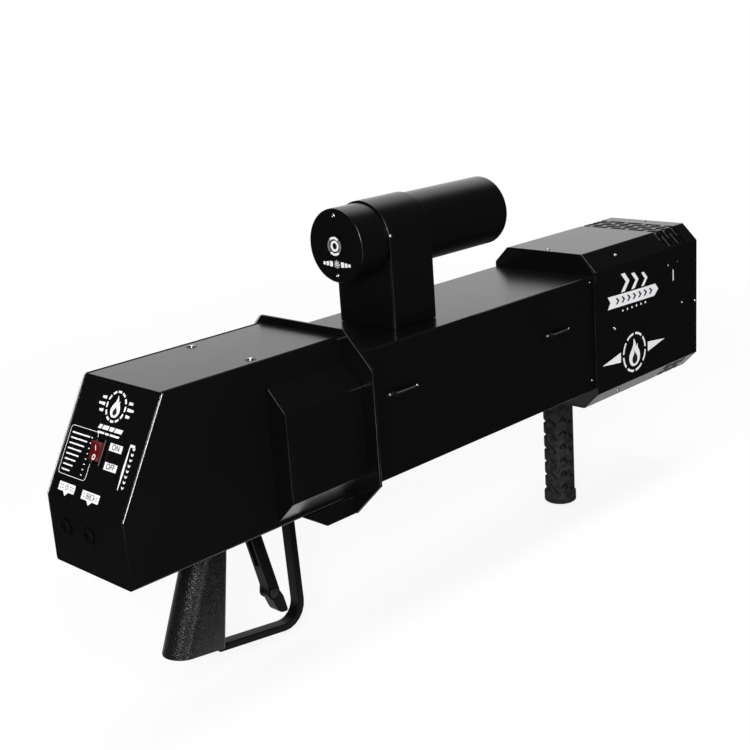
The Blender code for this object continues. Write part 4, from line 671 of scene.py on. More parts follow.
def addVentLiners():  # thin sheets close under the roof and the chamfers, which show through the slots; the roof's sheet is painted lighter, as painted light, and the chamfers' sheets near black, as painted shade
    shape = cowlShape
    rear, front = linerShape["rear"], linerShape["front"]
    faces = []
    for depth in linerShape["depths"]:
        fold = shape["half"] - shape["chamfer"] - depth * (math.sqrt(2) - 1)
        side, top = shape["half"] - depth, shape["top"] - depth
        faces.append(((side, linerShape["foot"]), (side, top - side + fold), (fold, top)))
    (foot, shoulder, edge), (footIn, shoulderIn, edgeIn) = faces
    form = bmesh.new()
    addPrism(form, [edge, (-edge[0], edge[1]), (-edgeIn[0], edgeIn[1]), edgeIn], rear, front, alongGun)
    keepForm("roofLiner", form, paintedLightGrey)
    form = bmesh.new()
    for side in (-1, 1):
        bent = (foot, shoulder, edge, edgeIn, shoulderIn, footIn)
        addPrism(form, [(side * (y - linerShape["gap"]), z) for y, z in bent], rear, front, alongGun)
    keepForm("ventLiners", form, paintedShadeBlack)


def addVentGleams():  # pale strips of painted highlight on the rear rims of the slots on the upper chamfers
    slant = cowlShape["chamfer"] * math.sqrt(2)
    form = bmesh.new()
    for side in (-1, 1):
        corner = (0, side * (cowlShape["half"] - cowlShape["chamfer"]), cowlShape["top"])
        face = frameOf(corner, (side, 0, 0), (0, side, -1))  # its Y runs down the chamfer
        for row in range(ventShape["rows"]):
            x = ventRow(row) - ventShape["wide"] / 2 - ventGleamShape["off"]
            above, below = ventGleamShape["ends"][row % 2]
            half = ventGleamShape["half"]
            rim = plainBox(side * x - half, above, side * x + half, slant - below)
            addPrism(form, rim, ventGleamShape["deep"], ventGleamShape["proud"], face)
    keepForm("ventGleams", form, paintedGleamGrey)


def addSideOpeningLight():  # a pale bar and a pale dot in the openings of each side, painted light that shows in them
    shape = openingLightShape
    along, up = shape["half"]
    radius, deep = shape["radius"], shape["deep"]
    form = bmesh.new()
    for side in (-1, 1):
        x, y, z = shape["bar"]
        outline = roundedBox(-along, -up, along, up, shape["round"])
        addPrism(form, outline, deep, shape["proud"], frameOf((x, side * y, z), (-side, 0, 0), (0, 0, 1)))
        x, y, z = shape["dot"]
        profile = [(deep, 0), (deep, radius), (0, radius), (shape["rise"], 0)]
        addTurned(form, profile, facing((x, side * y, z), (0, side, 0)), 20)
    keepForm("sideOpeningLight", form, paintedOpeningLight)


addCowl()
addVentLiners()
addVentGleams()
addSideOpeningLight()


panelShape = {"top": (-0.3646, 0.139), "run": 0.049, "fall": 0.089, "half": 0.052}
rockerShape = {"down": 56.6, "across": 2.5, "rise": 0.0015, "tilt": 8, "tip": (0.00693, 0.0040),
               "dip": 0.0026, "widen": 1.2, "mouth": (0.0188, 0.0126), "mouthDepth": (-0.0068, 0.01),
               "bezelEdge": 0.0005}


def panelFrame(down, across):  # on the sloping panel: millimetres down it and to the left of its middle
    slope = Vector((-panelShape["run"], 0, -panelShape["fall"])).normalized()
    top = Vector((panelShape["top"][0], 0, panelShape["top"][1]))
    place = top + slope * down / 1000 + Vector((0, across / 1000, 0))
    return frameOf(place, (0, -1, 0), -slope)


def rockerFrame():  # its X runs down the slope
    turn = Matrix.Rotation(math.radians(-90), 4, "Z")
    return panelFrame(rockerShape["down"], rockerShape["across"]) @ turn


def addRocker():
    long, wide = (size / 2 for size in rockerShape["mouth"])
    form = bmesh.new()
    addPrism(form, plainBox(-long, -wide, long, wide), *rockerShape["mouthDepth"], rockerFrame())
    refined("rocker_bezel", rockerShape["bezelEdge"], form)
    rocker = refined("power_rocker", 0.0)
    for vert in rocker.data.vertices:
        vert.co.y += (vert.co.y - rockerShape["across"] / 1000) * (rockerShape["widen"] - 1)


addRocker()


panelEdge = {"down": (0.8, 101.2), "wide": 0.0006, "depth": (-0.0009, -0.00024)}  # both ends in millimetres
wornEdges = (  # rear edges of bevels: x, y and z of both ends on the left, width, depth from the corner
    (0.1733, ((0.0485, 0.1435), (0.0655, 0.1265)), 0.0005, (-0.0006, -0.00008)),
    (-0.2646, ((0.0545, 0.1151), (0.0714, 0.0982)), 0.0004, (-0.0006, -0.00008)),
    (-0.1763, ((0.0535, 0.1445), (0.0841, 0.1139)), 0.0003, (-0.0007, -0.00014)),
)
foldShadeShape = {"rear": -0.3640, "short": 0.0005, "inner": 0.0478, "outer": 0.0514, "height": (0.1386, 0.13906)}


def addEdgeStrip(form, start, end, out, width, depth):  # along a sharp edge, facing out
    out = Vector(out).normalized()
    along = (end - start).normalized()
    matrix = frameOf(start, out.cross(along), along)
    addPrism(form, plainBox(-width / 2, 0, width / 2, (end - start).length), *depth, matrix)


def addBareEdges():  # beside the panel, and on the nozzle housing, the side covers and the collar
    form = bmesh.new()
    for side in (-1, 1):
        across = side * 1000 * panelShape["half"]
        top, bottom = (panelFrame(down, across) for down in panelEdge["down"])
        out = top.to_3x3().col[2] + Vector((0, side, 0))
        addEdgeStrip(form, bottom.translation, top.translation, out, panelEdge["wide"], panelEdge["depth"])
        for x, ends, wide, depth in wornEdges:
            top, bottom = (Vector((x, side * y, z)) for y, z in ends)
            addEdgeStrip(form, bottom, top, (-1, side * 0.7, 0.7), wide, depth)
    keepForm("bareEdges", form, bareEdge)


def addFoldShadeStrips():  # strips of painted shade along the folds on both sides of the rear housing's top
    form = bmesh.new()
    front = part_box("rear_shell")[1].x - foldShadeShape["short"]
    for side in (-1, 1):
        outline = plainBox(foldShadeShape["rear"], side * foldShadeShape["inner"], front, side * foldShadeShape["outer"])
        addPrism(form, outline, *foldShadeShape["height"])
    keepForm("foldShadeStrips", form, shadedFold)


addBareEdges()
addFoldShadeStrips()


triggerShape = {"pin": (-0.2638, 0.010), "forward": 0.0237, "drop": 0.0977, "depth": 0.0106, "lean": 0.25,
                "half": 0.006, "groove": 0.0011, "cut": 0.0007, "from": 0.030, "to": 0.082, "edge": 0.0008}


def addTrigger():  # with a groove down each side
    shape = triggerShape
    x, z = shape["pin"]
    middle = x + shape["forward"] + shape["depth"] * 0.27
    drops = shape["from"], shape["to"]
    line = [(middle - shape["lean"] * (shape["drop"] - drop), z - drop) for drop in drops]
    outline = lineBands(line, shape["groove"])[0]
    sideways = frameOf((0, 0, 0), (1, 0, 0), (0, 0, 1))  # its Z is -Y
    floor, clear = shape["half"] - shape["cut"], shape["half"] + 0.01
    form = bmesh.new()
    addPrism(form, outline, floor, clear, sideways)
    addPrism(form, outline, -clear, -floor, sideways)
    refined("trigger", shape["edge"], form)


addTrigger()
print("nozzle housing, rocker, worn edges and trigger made")


lampShape = {"radius": 0.0335, "wall": 0.0015, "gap": 0.0003, "cap": 0.003, "edge": 0.0012, "axis": 0.2034,
             "steps": 96}
lensShape = {"thick": 0.0035, "dome": 0.0016, "flat": 0.004,
             "rings": (1.0, 0.85, 0.7, 0.55, 0.4, 0.25, 0.12, 0.0)}
reflectorShape = {"neck": 0.008, "depth": 0.034, "rings": 24, "rim": 0.0012, "skin": (0.0011, 0.0004)}
buttonShape = {"radius": 0.0058, "run": 0.0004, "bezel": 0.0091, "rise": 0.0018, "body": 0.0078,
               "deep": 0.018, "plunger": 0.006, "travel": 0.002, "face": 0.0016, "seat": 0.0003,
               "arcGaps": (0.0002, 0.0006), "arcDepth": (-0.0007, 0.00002), "steps": 72}
# painted reflections round the bezel, white above and below and grey at the sides
bezelGleams = {"topArc": (48, 132, whiteInkAndGleam), "bottomBezelGleam": (228, 312, whiteInkAndGleam),
             "leftArc": (138, 222, paintedGleamGrey), "rightArc": (-42, 42, paintedGleamGrey)}  # in degrees
lampFit = lampShape["radius"] - lampShape["wall"] - lampShape["gap"]  # what goes into the tube
lampFrame = frameOf((0, 0, lampShape["axis"]), (0, 1, 0), (0, 0, 1))  # its Z is the gun's X


def addLampTube():
    low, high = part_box("lamp_tube")
    radius, bore, edge = lampShape["radius"], lampShape["radius"] - lampShape["wall"], lampShape["edge"]
    profile = [(low.x, bore), (low.x, radius), (high.x - edge, radius)]
    profile += [(high.x - edge * 0.3, radius - edge * 0.3), (high.x, radius - edge), (high.x, bore)]
    remade("lamp_tube", turned(profile, lampFrame, lampShape["steps"]))


def addLampCap():
    low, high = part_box("lamp_rear_cap")
    radius, edge, wall = lampShape["radius"], lampShape["edge"], lampShape["wall"]
    hole = buttonShape["body"] + lampShape["gap"]
    shoulder = low.x + lampShape["cap"]
    profile = [(low.x, hole)] + arcPoints((low.x + edge, radius - edge), edge, 180, 90, 4)
    profile += [(shoulder, radius), (shoulder, lampFit), (high.x, lampFit)]
    profile += [(high.x, lampFit - wall), (shoulder, lampFit - wall), (shoulder, hole)]
    remade("lamp_rear_cap", turned(profile, lampFrame, lampShape["steps"]))


def addLampLens():  # flat behind and slightly domed in front
    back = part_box("lamp_lens")[0].x
    front = back + lensShape["thick"]
    rise, reach = lensShape["dome"], lampFit - lensShape["flat"]
    profile = [(back, 0), (back, lampFit), (front, lampFit)]
    profile += [(front + rise * math.cos(t * math.pi / 2), reach * t) for t in lensShape["rings"]]
    remade("lamp_lens", turned(profile, lampFrame, lampShape["steps"]))


def addLampReflector():
    low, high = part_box("lamp_reflector")
    wall, neck, rim = lampShape["wall"], reflectorShape["neck"], reflectorShape["rim"]
    back, inwards = reflectorShape["skin"]
    shares = [i / reflectorShape["rings"] for i in range(reflectorShape["rings"] + 1)]
    depth, flare = reflectorShape["depth"], lampFit - wall - neck
    bowl = [(high.x - depth * (1 - t * t), neck + flare * t) for t in shares]
    outer = [(x - back, r + inwards) for x, r in bowl[:-2]]
    flange = [(high.x, lampFit), (high.x - rim, lampFit), (high.x - rim, lampFit - wall + lampShape["gap"])]
    profile = [(max(x, low.x), r) for x, r in bowl + flange + outer[::-1]]
    remade("lamp_reflector", turned(profile, lampFrame, lampShape["steps"]))


def capFrame(below=0.0):  # on the rear cap, on the lamp's axis or below it: its Z is -X
    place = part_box("lamp_rear_cap")[0].x, 0, lampShape["axis"] - below
    return frameOf(place, (0, -1, 0), (0, 0, 1))


def addButtonBezel():  # with four arcs of painted reflection, white above and below and grey at the sides
    shape = buttonShape
    bore = shape["radius"] + shape["run"]
    seat, top, outer = shape["seat"], shape["rise"], shape["bezel"]
    bottom = top - shape["plunger"] - shape["travel"] - 2 * shape["run"]
    profile = [(-shape["deep"], 0), (-shape["deep"], shape["body"]), (seat, shape["body"]), (seat, outer)]
    profile += about(top, outer, (-9, -1), (-2, -5), (-1, -7)) + about(top, bore, (-1, 3), (-3, 0))
    profile += [(bottom, bore), (bottom, 0)]
    remade("button_bezel", turned(profile, capFrame(), lampShape["steps"]), 50)
    inner, rim = shape["arcGaps"]
    for name, (first, last, finish) in bezelGleams.items():
        form = bmesh.new()
        band = arcBand(bore + inner, outer - rim, first, last, 24)
        addPrism(form, band, *(top + depth for depth in shape["arcDepth"]), capFrame())
        easeEdges(keepForm(name, form, finish), 0.00015, 40)


def addModeButton():  # with a white ring let into it
    shape = buttonShape
    face, radius = shape["face"], shape["radius"]
    profile = [(face - shape["plunger"], 0), (face - shape["plunger"], radius)]
    profile += about(face, radius, (-5, 0), (-2, -2), (-5, -5))
    profile += about(face, 0, (-5, 30), (-9, 28), (-7, 18), (-5, 9), (-4.5, 0))
    remade("mode_button", turned(profile, capFrame(), shape["steps"]), 50)
    profile = about(face, 0, (-6, 29)) + about(face, radius, (-6, -8), (-2, -8), (0, -10))
    ring = turned(profile + about(face, 0, (0, 31), (-2, 29)), capFrame(), shape["steps"])
    easeEdges(keepForm("buttonRing", ring, whiteInkAndGleam, "button"), 0.0, 50)


addLampTube()
addLampCap()
addLampLens()
addLampReflector()
addButtonBezel()
addModeButton()
print("lamp and push button made")


handleShape = {"x": 0.1898, "top": -0.0233, "radius": 0.0163, "flange": 0.0176, "flangeLength": 0.0125,
               "length": 0.1212, "core": 0.0113, "end": 0.005, "steps": 144, "rise": 0.0008}
treadShape = {"pitch": 0.0157, "rows": (0.2, 7.2), "walls": 1.8, "ends": 4, "clear": 0.0024}
treadColumns = (  # place round the handle and half width in degrees, drop, width, depth, start, kind
    (127, 37, 0.0012, 0.0058, 0.0026, 0.0104, "arrow"),
    (190, 17, 0.0052, 0.0046, 0.0018, 0.0080, "slant"),
    (236, 17, 0.0050, 0.0044, 0.0018, 0.0030, "arrow"),
    (276, 17, -0.0046, 0.0046, 0.0018, 0.0110, "arrow"),
    (325, 14, 0.0042, 0.0030, 0.0014, 0.0090, "arrow"),
    (12, 24, 0.0034, 0.0050, 0.0020, 0.0080, "arrow"),
    (64, 15, 0.0050, 0.0034, 0.0014, 0.0150, "slant"),
)


def treadRubber():  # painted shade darker down in the tread, dusty on top of it
    look = {"groove": (0.0035, 0.0037, 0.0037), "dark": (0.0062, 0.0067, 0.0067),
            "pale": (0.0185, 0.0197, 0.0194), "worn": (-0.0013, -0.0001), "dull": 0.58}
    rubber = newFinish("treadRubber")
    place = rubber.vectors("SUBTRACT", rubber.place(), (handleShape["x"], 0, 0))
    reach = rubber.vectors("LENGTH", rubber.vectors("MULTIPLY", place, (1, 1, 0)))
    skin = rubber.noise(1600, 3)
    dusty = rubber.mix(rubber.noise(150, 3).between(0.36, 0.64), look["dark"], look["pale"])
    # painted shade: the colour darkens where the surface lies below the handle's radius, in the grooves
    worn = reach.between(*(handleShape["radius"] + depth for depth in look["worn"]))
    colour = rubber.mix(worn, look["groove"], dusty)
    rough = look["dull"] + 0.2 * skin
    normal = rubber.bump(skin, 0.00009, 0.7)
    return rubber.shade(BaseColor=colour, Roughness=rough, SpecularIORLevel=0.12, Normal=normal)


def treadDepth(turn, along):  # how deep the rubber's grooves are there
    pitch = treadShape["pitch"]
    first, last = treadShape["rows"]
    depth = 0.0
    for at, half, drop, wide, deep, start, kind in treadColumns:
        across = ((math.degrees(turn) - at + 180) % 360 - 180) / half
        place = (along - start - drop * (across if kind == "slant" else abs(across))) / pitch
        off = abs(place - round(place)) * pitch / (wide / 2)
        if abs(across) < 1 and off < 1 and first < place < last:
            side = min(1.0, (1 - abs(across)) * treadShape["ends"])
            depth = max(depth, deep * min(1.0, (1 - off) * treadShape["walls"]) * side)
    return depth


def sleeveProfile():  # (along, radius) down the outside from the sleeve's top, then up its bore
    shape = handleShape
    length, radius, core, flange = shape["length"], shape["radius"], shape["core"], shape["flange"]
    start = length - shape["flangeLength"]
    groove = start + shape["flangeLength"] / 2
    count = int((start - treadShape["clear"]) / shape["rise"])
    profile = [(0, core)] + about(0, radius, (0, -12), (4, -3))
    profile += [(shape["rise"] * (i + 2), radius) for i in range(count)]
    profile += about(start, radius, (-10, 0)) + about(start, flange, (-2, -4), (6, 0))
    profile += about(groove, flange, (-9, 0), (-5, -6), (3, -6), (7, 0))
    profile += about(length, flange, (-30, 0), (-20, -4), (-12, -16), (-7, -42))
    profile += [(length - 0.0002, flange * 0.45), (length, 0)]
    return profile + [(length - shape["end"], 0), (length - shape["end"], core)]


def addHandle():
    shape = handleShape
    form = bmesh.new()
    rings = []
    for along, reach in sleeveProfile():
        z = shape["top"] - along
        if reach == 0:
            rings.append([form.verts.new((shape["x"], 0, z))])
            continue
        ring = []
        for i in range(shape["steps"]):
            turn = math.tau * i / shape["steps"]
            left = reach - treadDepth(turn, along) if reach == shape["radius"] else reach
            ring.append(form.verts.new((shape["x"] + left * math.cos(turn), left * math.sin(turn), z)))
        rings.append(ring)
    joinRings(form, rings, shape["steps"])
    remade("handle_sleeve", form, 55).data.materials[0] = treadRubber()


addHandle()
print("rubber handle made")


paintDepth = (-0.06, 0.12)  # in millimetres below and above the face
overDepth = (0.08, 0.17)  # for dark signs on top of the paint
rimDepth = (2.0, 2.16)  # on top of the rocker's frame
markDepth = (-0.1, 0.1)  # on the rocker


def addPrint(name, outlines, matrix, finish=whiteInkAndGleam, depth=paintDepth, body="gun"):  # in millimetres
    form = bmesh.new()
    for outline in outlines:
        addPrism(form, outline, *depth, matrix @ Matrix.Scale(0.001, 4))
    return keepForm(name, form, finish, body)


def addLetters(name, words, size, matrix):  # centred on the matrix, on top of the paint
    low, high = overDepth
    curve = bpy.data.curves.new(name, "FONT")
    curve.body = words
    curve.size = size
    curve.align_x = "CENTER"
    curve.align_y = "CENTER"
    curve.extrude = (high - low) / 2
    curve.offset = 0.07
    holder = linked(name + "Curve", curve)
    mesh = settled(holder)
    bpy.data.objects.remove(holder)
    mesh.transform(matrix @ Matrix.Scale(0.001, 4) @ Matrix.Translation((0, 0, (low + high) / 2)))
    form = bmesh.new()
    form.from_mesh(mesh)
    bmesh.ops.remove_doubles(form, verts=form.verts, dist=0.0000005)
    form.to_mesh(mesh)
    form.free()
    return keepPiece(name, mesh, darkInk)


def flameOutline(width, height):  # a drop with a bent tip, about its middle
    points = [(0, -50), (22, -46), (38, -32), (42, -13), (34, 4), (25, 14), (23, 28), (12, 19), (8, 34)]
    points += [(-6, 50), (-7, 32), (-16, 18), (-30, 4), (-40, -13), (-37, -32), (-22, -46)]
    smooth = []
    for i in range(len(points)):
        before, first, second, after = (Vector(points[(i + k) % len(points)]) for k in (-1, 0, 1, 2))
        for t in (0.0, 0.34, 0.67):
            curved = 2 * first + (second - before) * t
            curved += (2 * before - 5 * first + 4 * second - after) * t * t
            curved = (curved + (3 * first - before - 3 * second + after) * t ** 3) / 2
            smooth.append((curved.x * width / 84, curved.y * height / 100))
    return smooth


panelPlaces = {  # millimetres down the panel and to the left of its middle
    "emblem": (19.5, -1.5), "stripes": (37.2, -3.0), "scale": (62, 28.5), "onTag": (50.1, -16.7),
    "offTag": (65.2, -17.0), "plugTag": (91.0, 29.4), "batteryTag": (91.6, -3.6), "bar": (60.6, -33.4),
    "ticks": (77.0, -38.6),
}
switchTags = {"onTag": "ON", "offTag": "OFF"}
socketTags = {"plugTag": 11.0, "batteryTag": 11.6}  # half widths
scaleShape = {"half": (18.8, 19.7), "corner": 3, "line": 0.42, "bars": 8, "foot": -16.6, "pitch": 4.3,
              "start": -15.5, "first": -4.5, "longer": 1.9, "thick": 1.2, "ticks": (10.9, 12.8)}


def panelAt(name):
    return panelFrame(*panelPlaces[name])


def addPanelEmblem():  # a flame in a broken ring, with three bars on each side
    emblem = panelAt("emblem")
    badge = brokenRing(11.0, 12.8, 12, -10, 10, 6)
    for side in (-1, 1):
        for v, long in ((5.2, 5.0), (0, 8.0), (-5.2, 5.0)):
            near, far = side * 15.0, side * (15.0 + long)
            badge.append([(near, v - 1.3), (far, v - 0.9), (far, v + 0.9), (near, v + 1.3)])
    addPrint("panelEmblem", badge + [flameOutline(12.0, 17.5)], emblem)
    addPrint("panelEmblemHeart", [moved(flameOutline(5.2, 7.6), 0.2, -3.2)], emblem, darkInk, overDepth)


def addPanelStripes():  # two rows of leaning bars
    bars = []
    for v, high, widths in ((0, 3.4, (4.0, 7.5, 5.5, 9.5)), (-4.6, 1.6, (9.0, 5.0, 12.0))):
        u = -15.5
        for wide in widths:
            bars.append(moved(plainBox(0, -high / 2, wide, high / 2), u, v, 1, 0.45))
            u += wide + 1.5
    addPrint("panelStripes", bars, panelAt("stripes"))


def addScale():  # bars of growing length in a thin frame, each with a tick
    shape = scaleShape
    matrix = panelAt("scale")
    u, v = shape["half"]
    line = roundedBox(-u, -v, u, v, shape["corner"], 6)
    addPrint("scaleFrame", lineBands(line, shape["line"], True), matrix)
    steps = []
    near, far = shape["ticks"]
    for i in range(shape["bars"]):
        low, end = shape["foot"] + shape["pitch"] * i, shape["first"] + shape["longer"] * i
        high = low + shape["thick"]
        steps.append([(shape["start"], low), (end, low), (end + 0.4, high), (shape["start"], high)])
        steps.append(plainBox(near, low + 0.2, far, high - 0.2))
    addPrint("scaleSteps", steps, matrix)


def addTags():  # the switch's words, and the signs over the two sockets
    for name, words in switchTags.items():
        matrix = panelAt(name)
        addPrint(name, [plainBox(-8.1, -3.0, 8.1, 3.0)], matrix)
        addLetters(name + "Letters", words, 6.4, matrix)
    for name, half in socketTags.items():
        tag = [(-half, -3.5), (-3.6, -3.5), (0, -6.8), (3.6, -3.5), (half, -3.5), (half, 3.5), (-half, 3.5)]
        addPrint(name, [tag], panelAt(name))
    dash = plainBox(-0.9, -0.3, 0.9, 0.3)
    plug = [arcBand(1.6, 2.1, 120, 420, 20), plainBox(-0.3, 0.3, 0.3, 2.7)]
    plug += [moved(dash, u, v) for u in (-8.2, -5.4, 5.4, 8.2) for v in (-1.1, 1.1)]
    addPrint("plugSign", plug, panelAt("plugTag"), darkInk, overDepth)
    cell = lineBands(plainBox(-5.4, -1.9, 4.6, 1.9), 0.5, True) + [plainBox(4.9, -0.9, 5.8, 0.9)]
    cell += [plainBox(u, -1.0, u + 1.1, 1.0) for u in (-4.4, -2.4, -0.4)]
    cell += [moved(dash, u, v) for u in (-8.6, 8.6) for v in (-1.1, 1.1)]
    addPrint("batterySign", cell, panelAt("batteryTag"), darkInk, overDepth)


def addPanelBar():  # the long bent line on the right, with a row of notches beside it
    bar = [(0.4, -19), (1.2, -6), (0.4, 14), (0.3, 14.8), (5.6, 14.8), (5.6, 16.8), (-0.4, 16.8), (-0.5, 14)]
    bar += [(-1.4, -4), (-0.3, -19)]
    addPrint("panelBar", [bar], panelAt("bar"))
    notch = [(-1.5, 1.3), (0, 0.3), (1.5, 1.3), (1.5, 0), (0, -1.2), (-1.5, 0)]
    ticks = [moved(notch, 0, 4.3 * i) for i in range(8)]
    addPrint("panelTicks", ticks, panelAt("ticks"))


addPanelEmblem()
addPanelStripes()
rockerPlace = panelFrame(rockerShape["down"], rockerShape["across"])
# a painted highlight along the right edge of the rocker's frame
addPrint("rockerRim", [plainBox(6.2, -10.3, 7.3, 10.3)], rockerPlace, paintedLightGrey, rimDepth)
addScale()
addTags()
addPanelBar()


cowlPlaces = {"arrows": (0.2525, 0.1064), "pennant": (0.2405, 0.0875), "emblem": (0.2420, 0.0255)}  # x and z


def cowlFrame(name):  # on the right side of the nozzle housing
    x, z = cowlPlaces[name]
    return frameOf((x, -cowlShape["half"], z), (1, 0, 0), (0, 0, 1))


def addCowlPrint():  # arrows over a pennant, and a flame in a winged ring
    arrow = [(-8, -15), (2.5, -15), (16, 0), (2.5, 15), (-8, 15), (6, 0)]
    arrows = [moved(arrow, 18.5 * i - 29, -1.8 * i, size) for i, size in enumerate((0.66, 0.58, 0.50))]
    addPrint("cowlArrows", arrows, cowlFrame("arrows"))
    pennant = cowlFrame("pennant")
    sweep = [(-47, -5), (0, -6.6), (41, -7.8), (49, -1.2), (43, 5.4), (0, 6.6), (-47, 8.4), (-42, 1.8)]
    addPrint("cowlSweep", [sweep], pennant)
    tongue = [(-2.8, -3.0), (0.8, -3.0), (4.4, 0.2), (0.4, 3.8), (-2.6, 3.8), (0.8, 0.3)]
    tongues = [moved(tongue, 10.5 * i - 30, 0.9 - 0.32 * i) for i in range(7)]
    addPrint("cowlSweepMarks", tongues, pennant, darkInk, overDepth)
    diamond = [(-1.5, 0), (0, -1.5), (1.5, 0), (0, 1.5)]
    addPrint("cowlDiamonds", [moved(diamond, 8.6 * i - 19.5, -11.2) for i in range(6)], pennant)
    emblem = cowlFrame("emblem")
    addPrint("cowlFlame", brokenRing(19.5, 22.0, 8, 5, 40, 8) + [flameOutline(21, 31)], emblem)
    addPrint("cowlFlameHeart", [moved(flameOutline(10, 15), 0.4, -5.4)], emblem, darkInk, overDepth)
    wings = [[(26, -5.5), (60, 1.5), (26, 5.5)], [(-26, -5.5), (-26, 5.5), (-60, -1.5)]]
    addPrint("cowlWings", wings, emblem)


def addCapPrint():  # a small sun between two rows of bars, under the push button
    sun = [arcBand(0.9, 1.9, 0, 350, 20)]
    for i in range(8):
        turn = Matrix.Rotation(math.tau * i / 8, 2)
        sun.append([tuple(turn @ Vector(p)) for p in ((2.4, -0.45), (3.7, -0.35), (3.7, 0.35), (2.4, 0.45))])
    for u, wide, half in ((5.2, 3.8, 2.4), (10.0, 3.4, 1.9), (14.4, 3.0, 1.4)):
        sun += [roundedBox(u, -half, u + wide, half, 0.5), roundedBox(-u - wide, -half, -u, half, 0.5)]
    addPrint("lampSign", sun, capFrame(below=0.0166))


def addRockerMarks():  # I on its upper half and O on its lower half
    shape = rockerShape
    tilt = Matrix.Rotation(math.radians(shape["tilt"]), 4, "Y")
    pivot = rockerFrame() @ Matrix.Translation((0, 0, shape["rise"])) @ tilt
    reach, tip = shape["tip"]
    circle = [(1.6 * math.cos(math.tau * i / 28), 1.9 * math.sin(math.tau * i / 28)) for i in range(28)]
    marks = (("onMark", -1, 0.44, [roundedBox(-0.4, -2.2, 0.4, 2.2, 0.3)]),
             ("offMark", 1, 0.62, lineBands(circle, 0.9, True)))
    for name, side, share, outlines in marks:
        up = Vector((-reach, 0, -side * (tip - shape["dip"])))
        place = (side * reach * share, 0.0010, shape["dip"] + (tip - shape["dip"]) * share)
        addPrint(name, outlines, pivot @ frameOf(place, (0, 1, 0), up), whiteInkAndGleam, markDepth, "rocker")


addCowlPrint()
addCapPrint()
addRockerMarks()
print("prints made")


lidScrew = (-0.267, 0.0385, 0.139)
pairedScrews = (  # place and way out on the left, head radius
    (lidScrew, (0, 0, 1), 0.0030), ((-0.092, 0.03486, 0.209), (0, 0.987, 0.159), 0.0016),
    ((0.2054, 0.066, 0.0603), (0, 1, 0), 0.0020), ((0.3383, 0.066, 0.0608), (0, 1, 0), 0.0019),
    ((0.3658, 0.066, 0.057), (0, 1, 0), 0.0018), ((0.222, 0.057, 0.135), (0, 1, 1), 0.0021),
    ((0.223, 0.057, -0.014), (0, 1, -1), 0.0021), ((0.168, 0.062, 0.117), (0, 1, 0), 0.0011),
    ((0.168, 0.062, 0.012), (0, 1, 0), 0.0015),
)
singleScrews = (
    ((-0.127, 0, 0.2305), (-1, 0, 0), 0.0018), ((-0.127, 0, 0.1765), (-1, 0, 0), 0.0018),
    ((0.3658, 0, 0.144), (0, 0, 1), 0.0018), ((0.181, 0, 0.144), (0, 0, 1), 0.0021),
    ((-0.3127, 0, -0.1144), (-0.1435, 0, -0.9896), 0.0030),
    ((-0.303, 0.016, -0.030), (0, 1, 0), 0.0026), ((-0.320, 0.016, -0.085), (0, 1, 0), 0.0026),
)
loopShape = {"middles": (0.1092, -0.1184), "bar": 0.0118, "knee": 0.0133, "face": -0.06752, "foot": -0.0645,
             "low": 0.0782, "high": 0.0796, "wear": 0.0002, "screw": (0.0175, -0.0643, 0.0782),
             "screwRadius": 0.0012}
headShape = {  # rise and slot are shares of the radius, and rim, floor and clear are shares of the rise
    "rise": 0.62, "slot": (0.52, 0.13), "rim": 0.12, "floor": 0.45, "clear": 1.5, "steps": 28,
}
shadeRingProfile = about(0, 0, (-1, 26), (-1, 48), (2, 46), (3, 34), (3, 26))
pinProfile = about(0, 0, (-112, 0), (-112, 9), (-35, 9), (-29, 6), (-27, 0))


def screwList():
    screws = list(singleScrews)
    for (x, y, z), (outX, outY, outZ), radius in pairedScrews:
        screws += [((x, side * y, z), (outX, side * outY, outZ), radius) for side in (-1, 1)]
    away, y, z = loopShape["screw"]
    for middle in loopShape["middles"]:
        screws += [((middle + side * away, y, z), (0, -1, 0), loopShape["screwRadius"]) for side in (-1, 1)]
    return screws


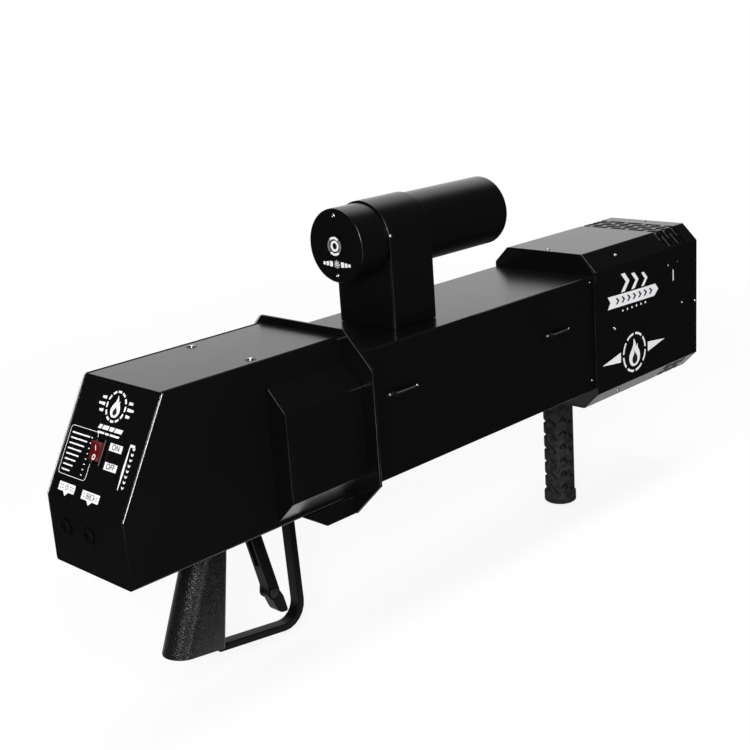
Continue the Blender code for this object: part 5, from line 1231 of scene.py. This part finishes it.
def addScrews():
    heads = bmesh.new()
    crosses = bmesh.new()
    for place, out, radius in screwList():
        turn = Matrix.Rotation(math.radians(radius * 9e4 % 45), 4, "Z")  # each size's slots lie another way
        matrix = facing(place, out) @ turn
        rise = radius * headShape["rise"]
        dome = [(rise * math.cos(t * math.pi / 12), radius * math.sin(t * math.pi / 12)) for t in range(6)]
        profile = [(-0.0001, 0), (-0.0001, radius * 0.97), (rise * headShape["rim"], radius)]
        addTurned(heads, profile + dome[:0:-1] + [(rise, 0)], matrix, headShape["steps"])
        long, thin = (radius * share for share in headShape["slot"])
        cross = [(long, -thin), (long, thin), (thin, thin), (thin, long), (-thin, long), (-thin, thin)]
        cross += [(-u, -v) for u, v in cross]
        addPrism(crosses, cross, rise * headShape["floor"], rise * headShape["clear"], matrix)
    screws = keepForm("zincScrews", heads, screwSteel, "gun")
    carve(screws, crosses)
    easeEdges(screws, 0.0, 40)


# dark rings of painted shade round the two screws on the rear housing's top
def addTopScrewShadeRings():
    x, y, z = lidScrew
    form = bmesh.new()
    for side in (-1, 1):
        addTurned(form, shadeRingProfile, facing((x, side * y, z), (0, 0, 1)), 40)
    keepForm("topScrewShadeRings", form, paintedShadeBlack)


def addLoopGleam():  # a painted highlight along each strap loop's bar
    shape = loopShape
    form = bmesh.new()
    for middle in shape["middles"]:
        path = [(middle - shape["knee"], shape["foot"]), (middle - shape["bar"], shape["face"])]
        path += [(middle + shape["bar"], shape["face"]), (middle + shape["knee"], shape["foot"])]
        for band in lineBands(path, shape["wear"]):
            addPrism(form, band, shape["low"], shape["high"])
    keepForm("loopWear", form, loopGleamGrey)


def addSocketPins():
    form = bmesh.new()
    for node in ("power_socket", "charge_socket"):
        low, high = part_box(node)
        middle = (low + high) / 2
        addTurned(form, pinProfile, frameOf((low.x, middle.y, middle.z), (0, -1, 0), (0, 0, 1)), 24)
    pins = keepForm("socketPins", form, finishes["zinc_plated_steel"], "gun")
    easeEdges(pins, 0.0, 50)


addScrews()
addTopScrewShadeRings()
addLoopGleam()
addSocketPins()
print("screws, washers and pins made:", len(screwList()), "screws")
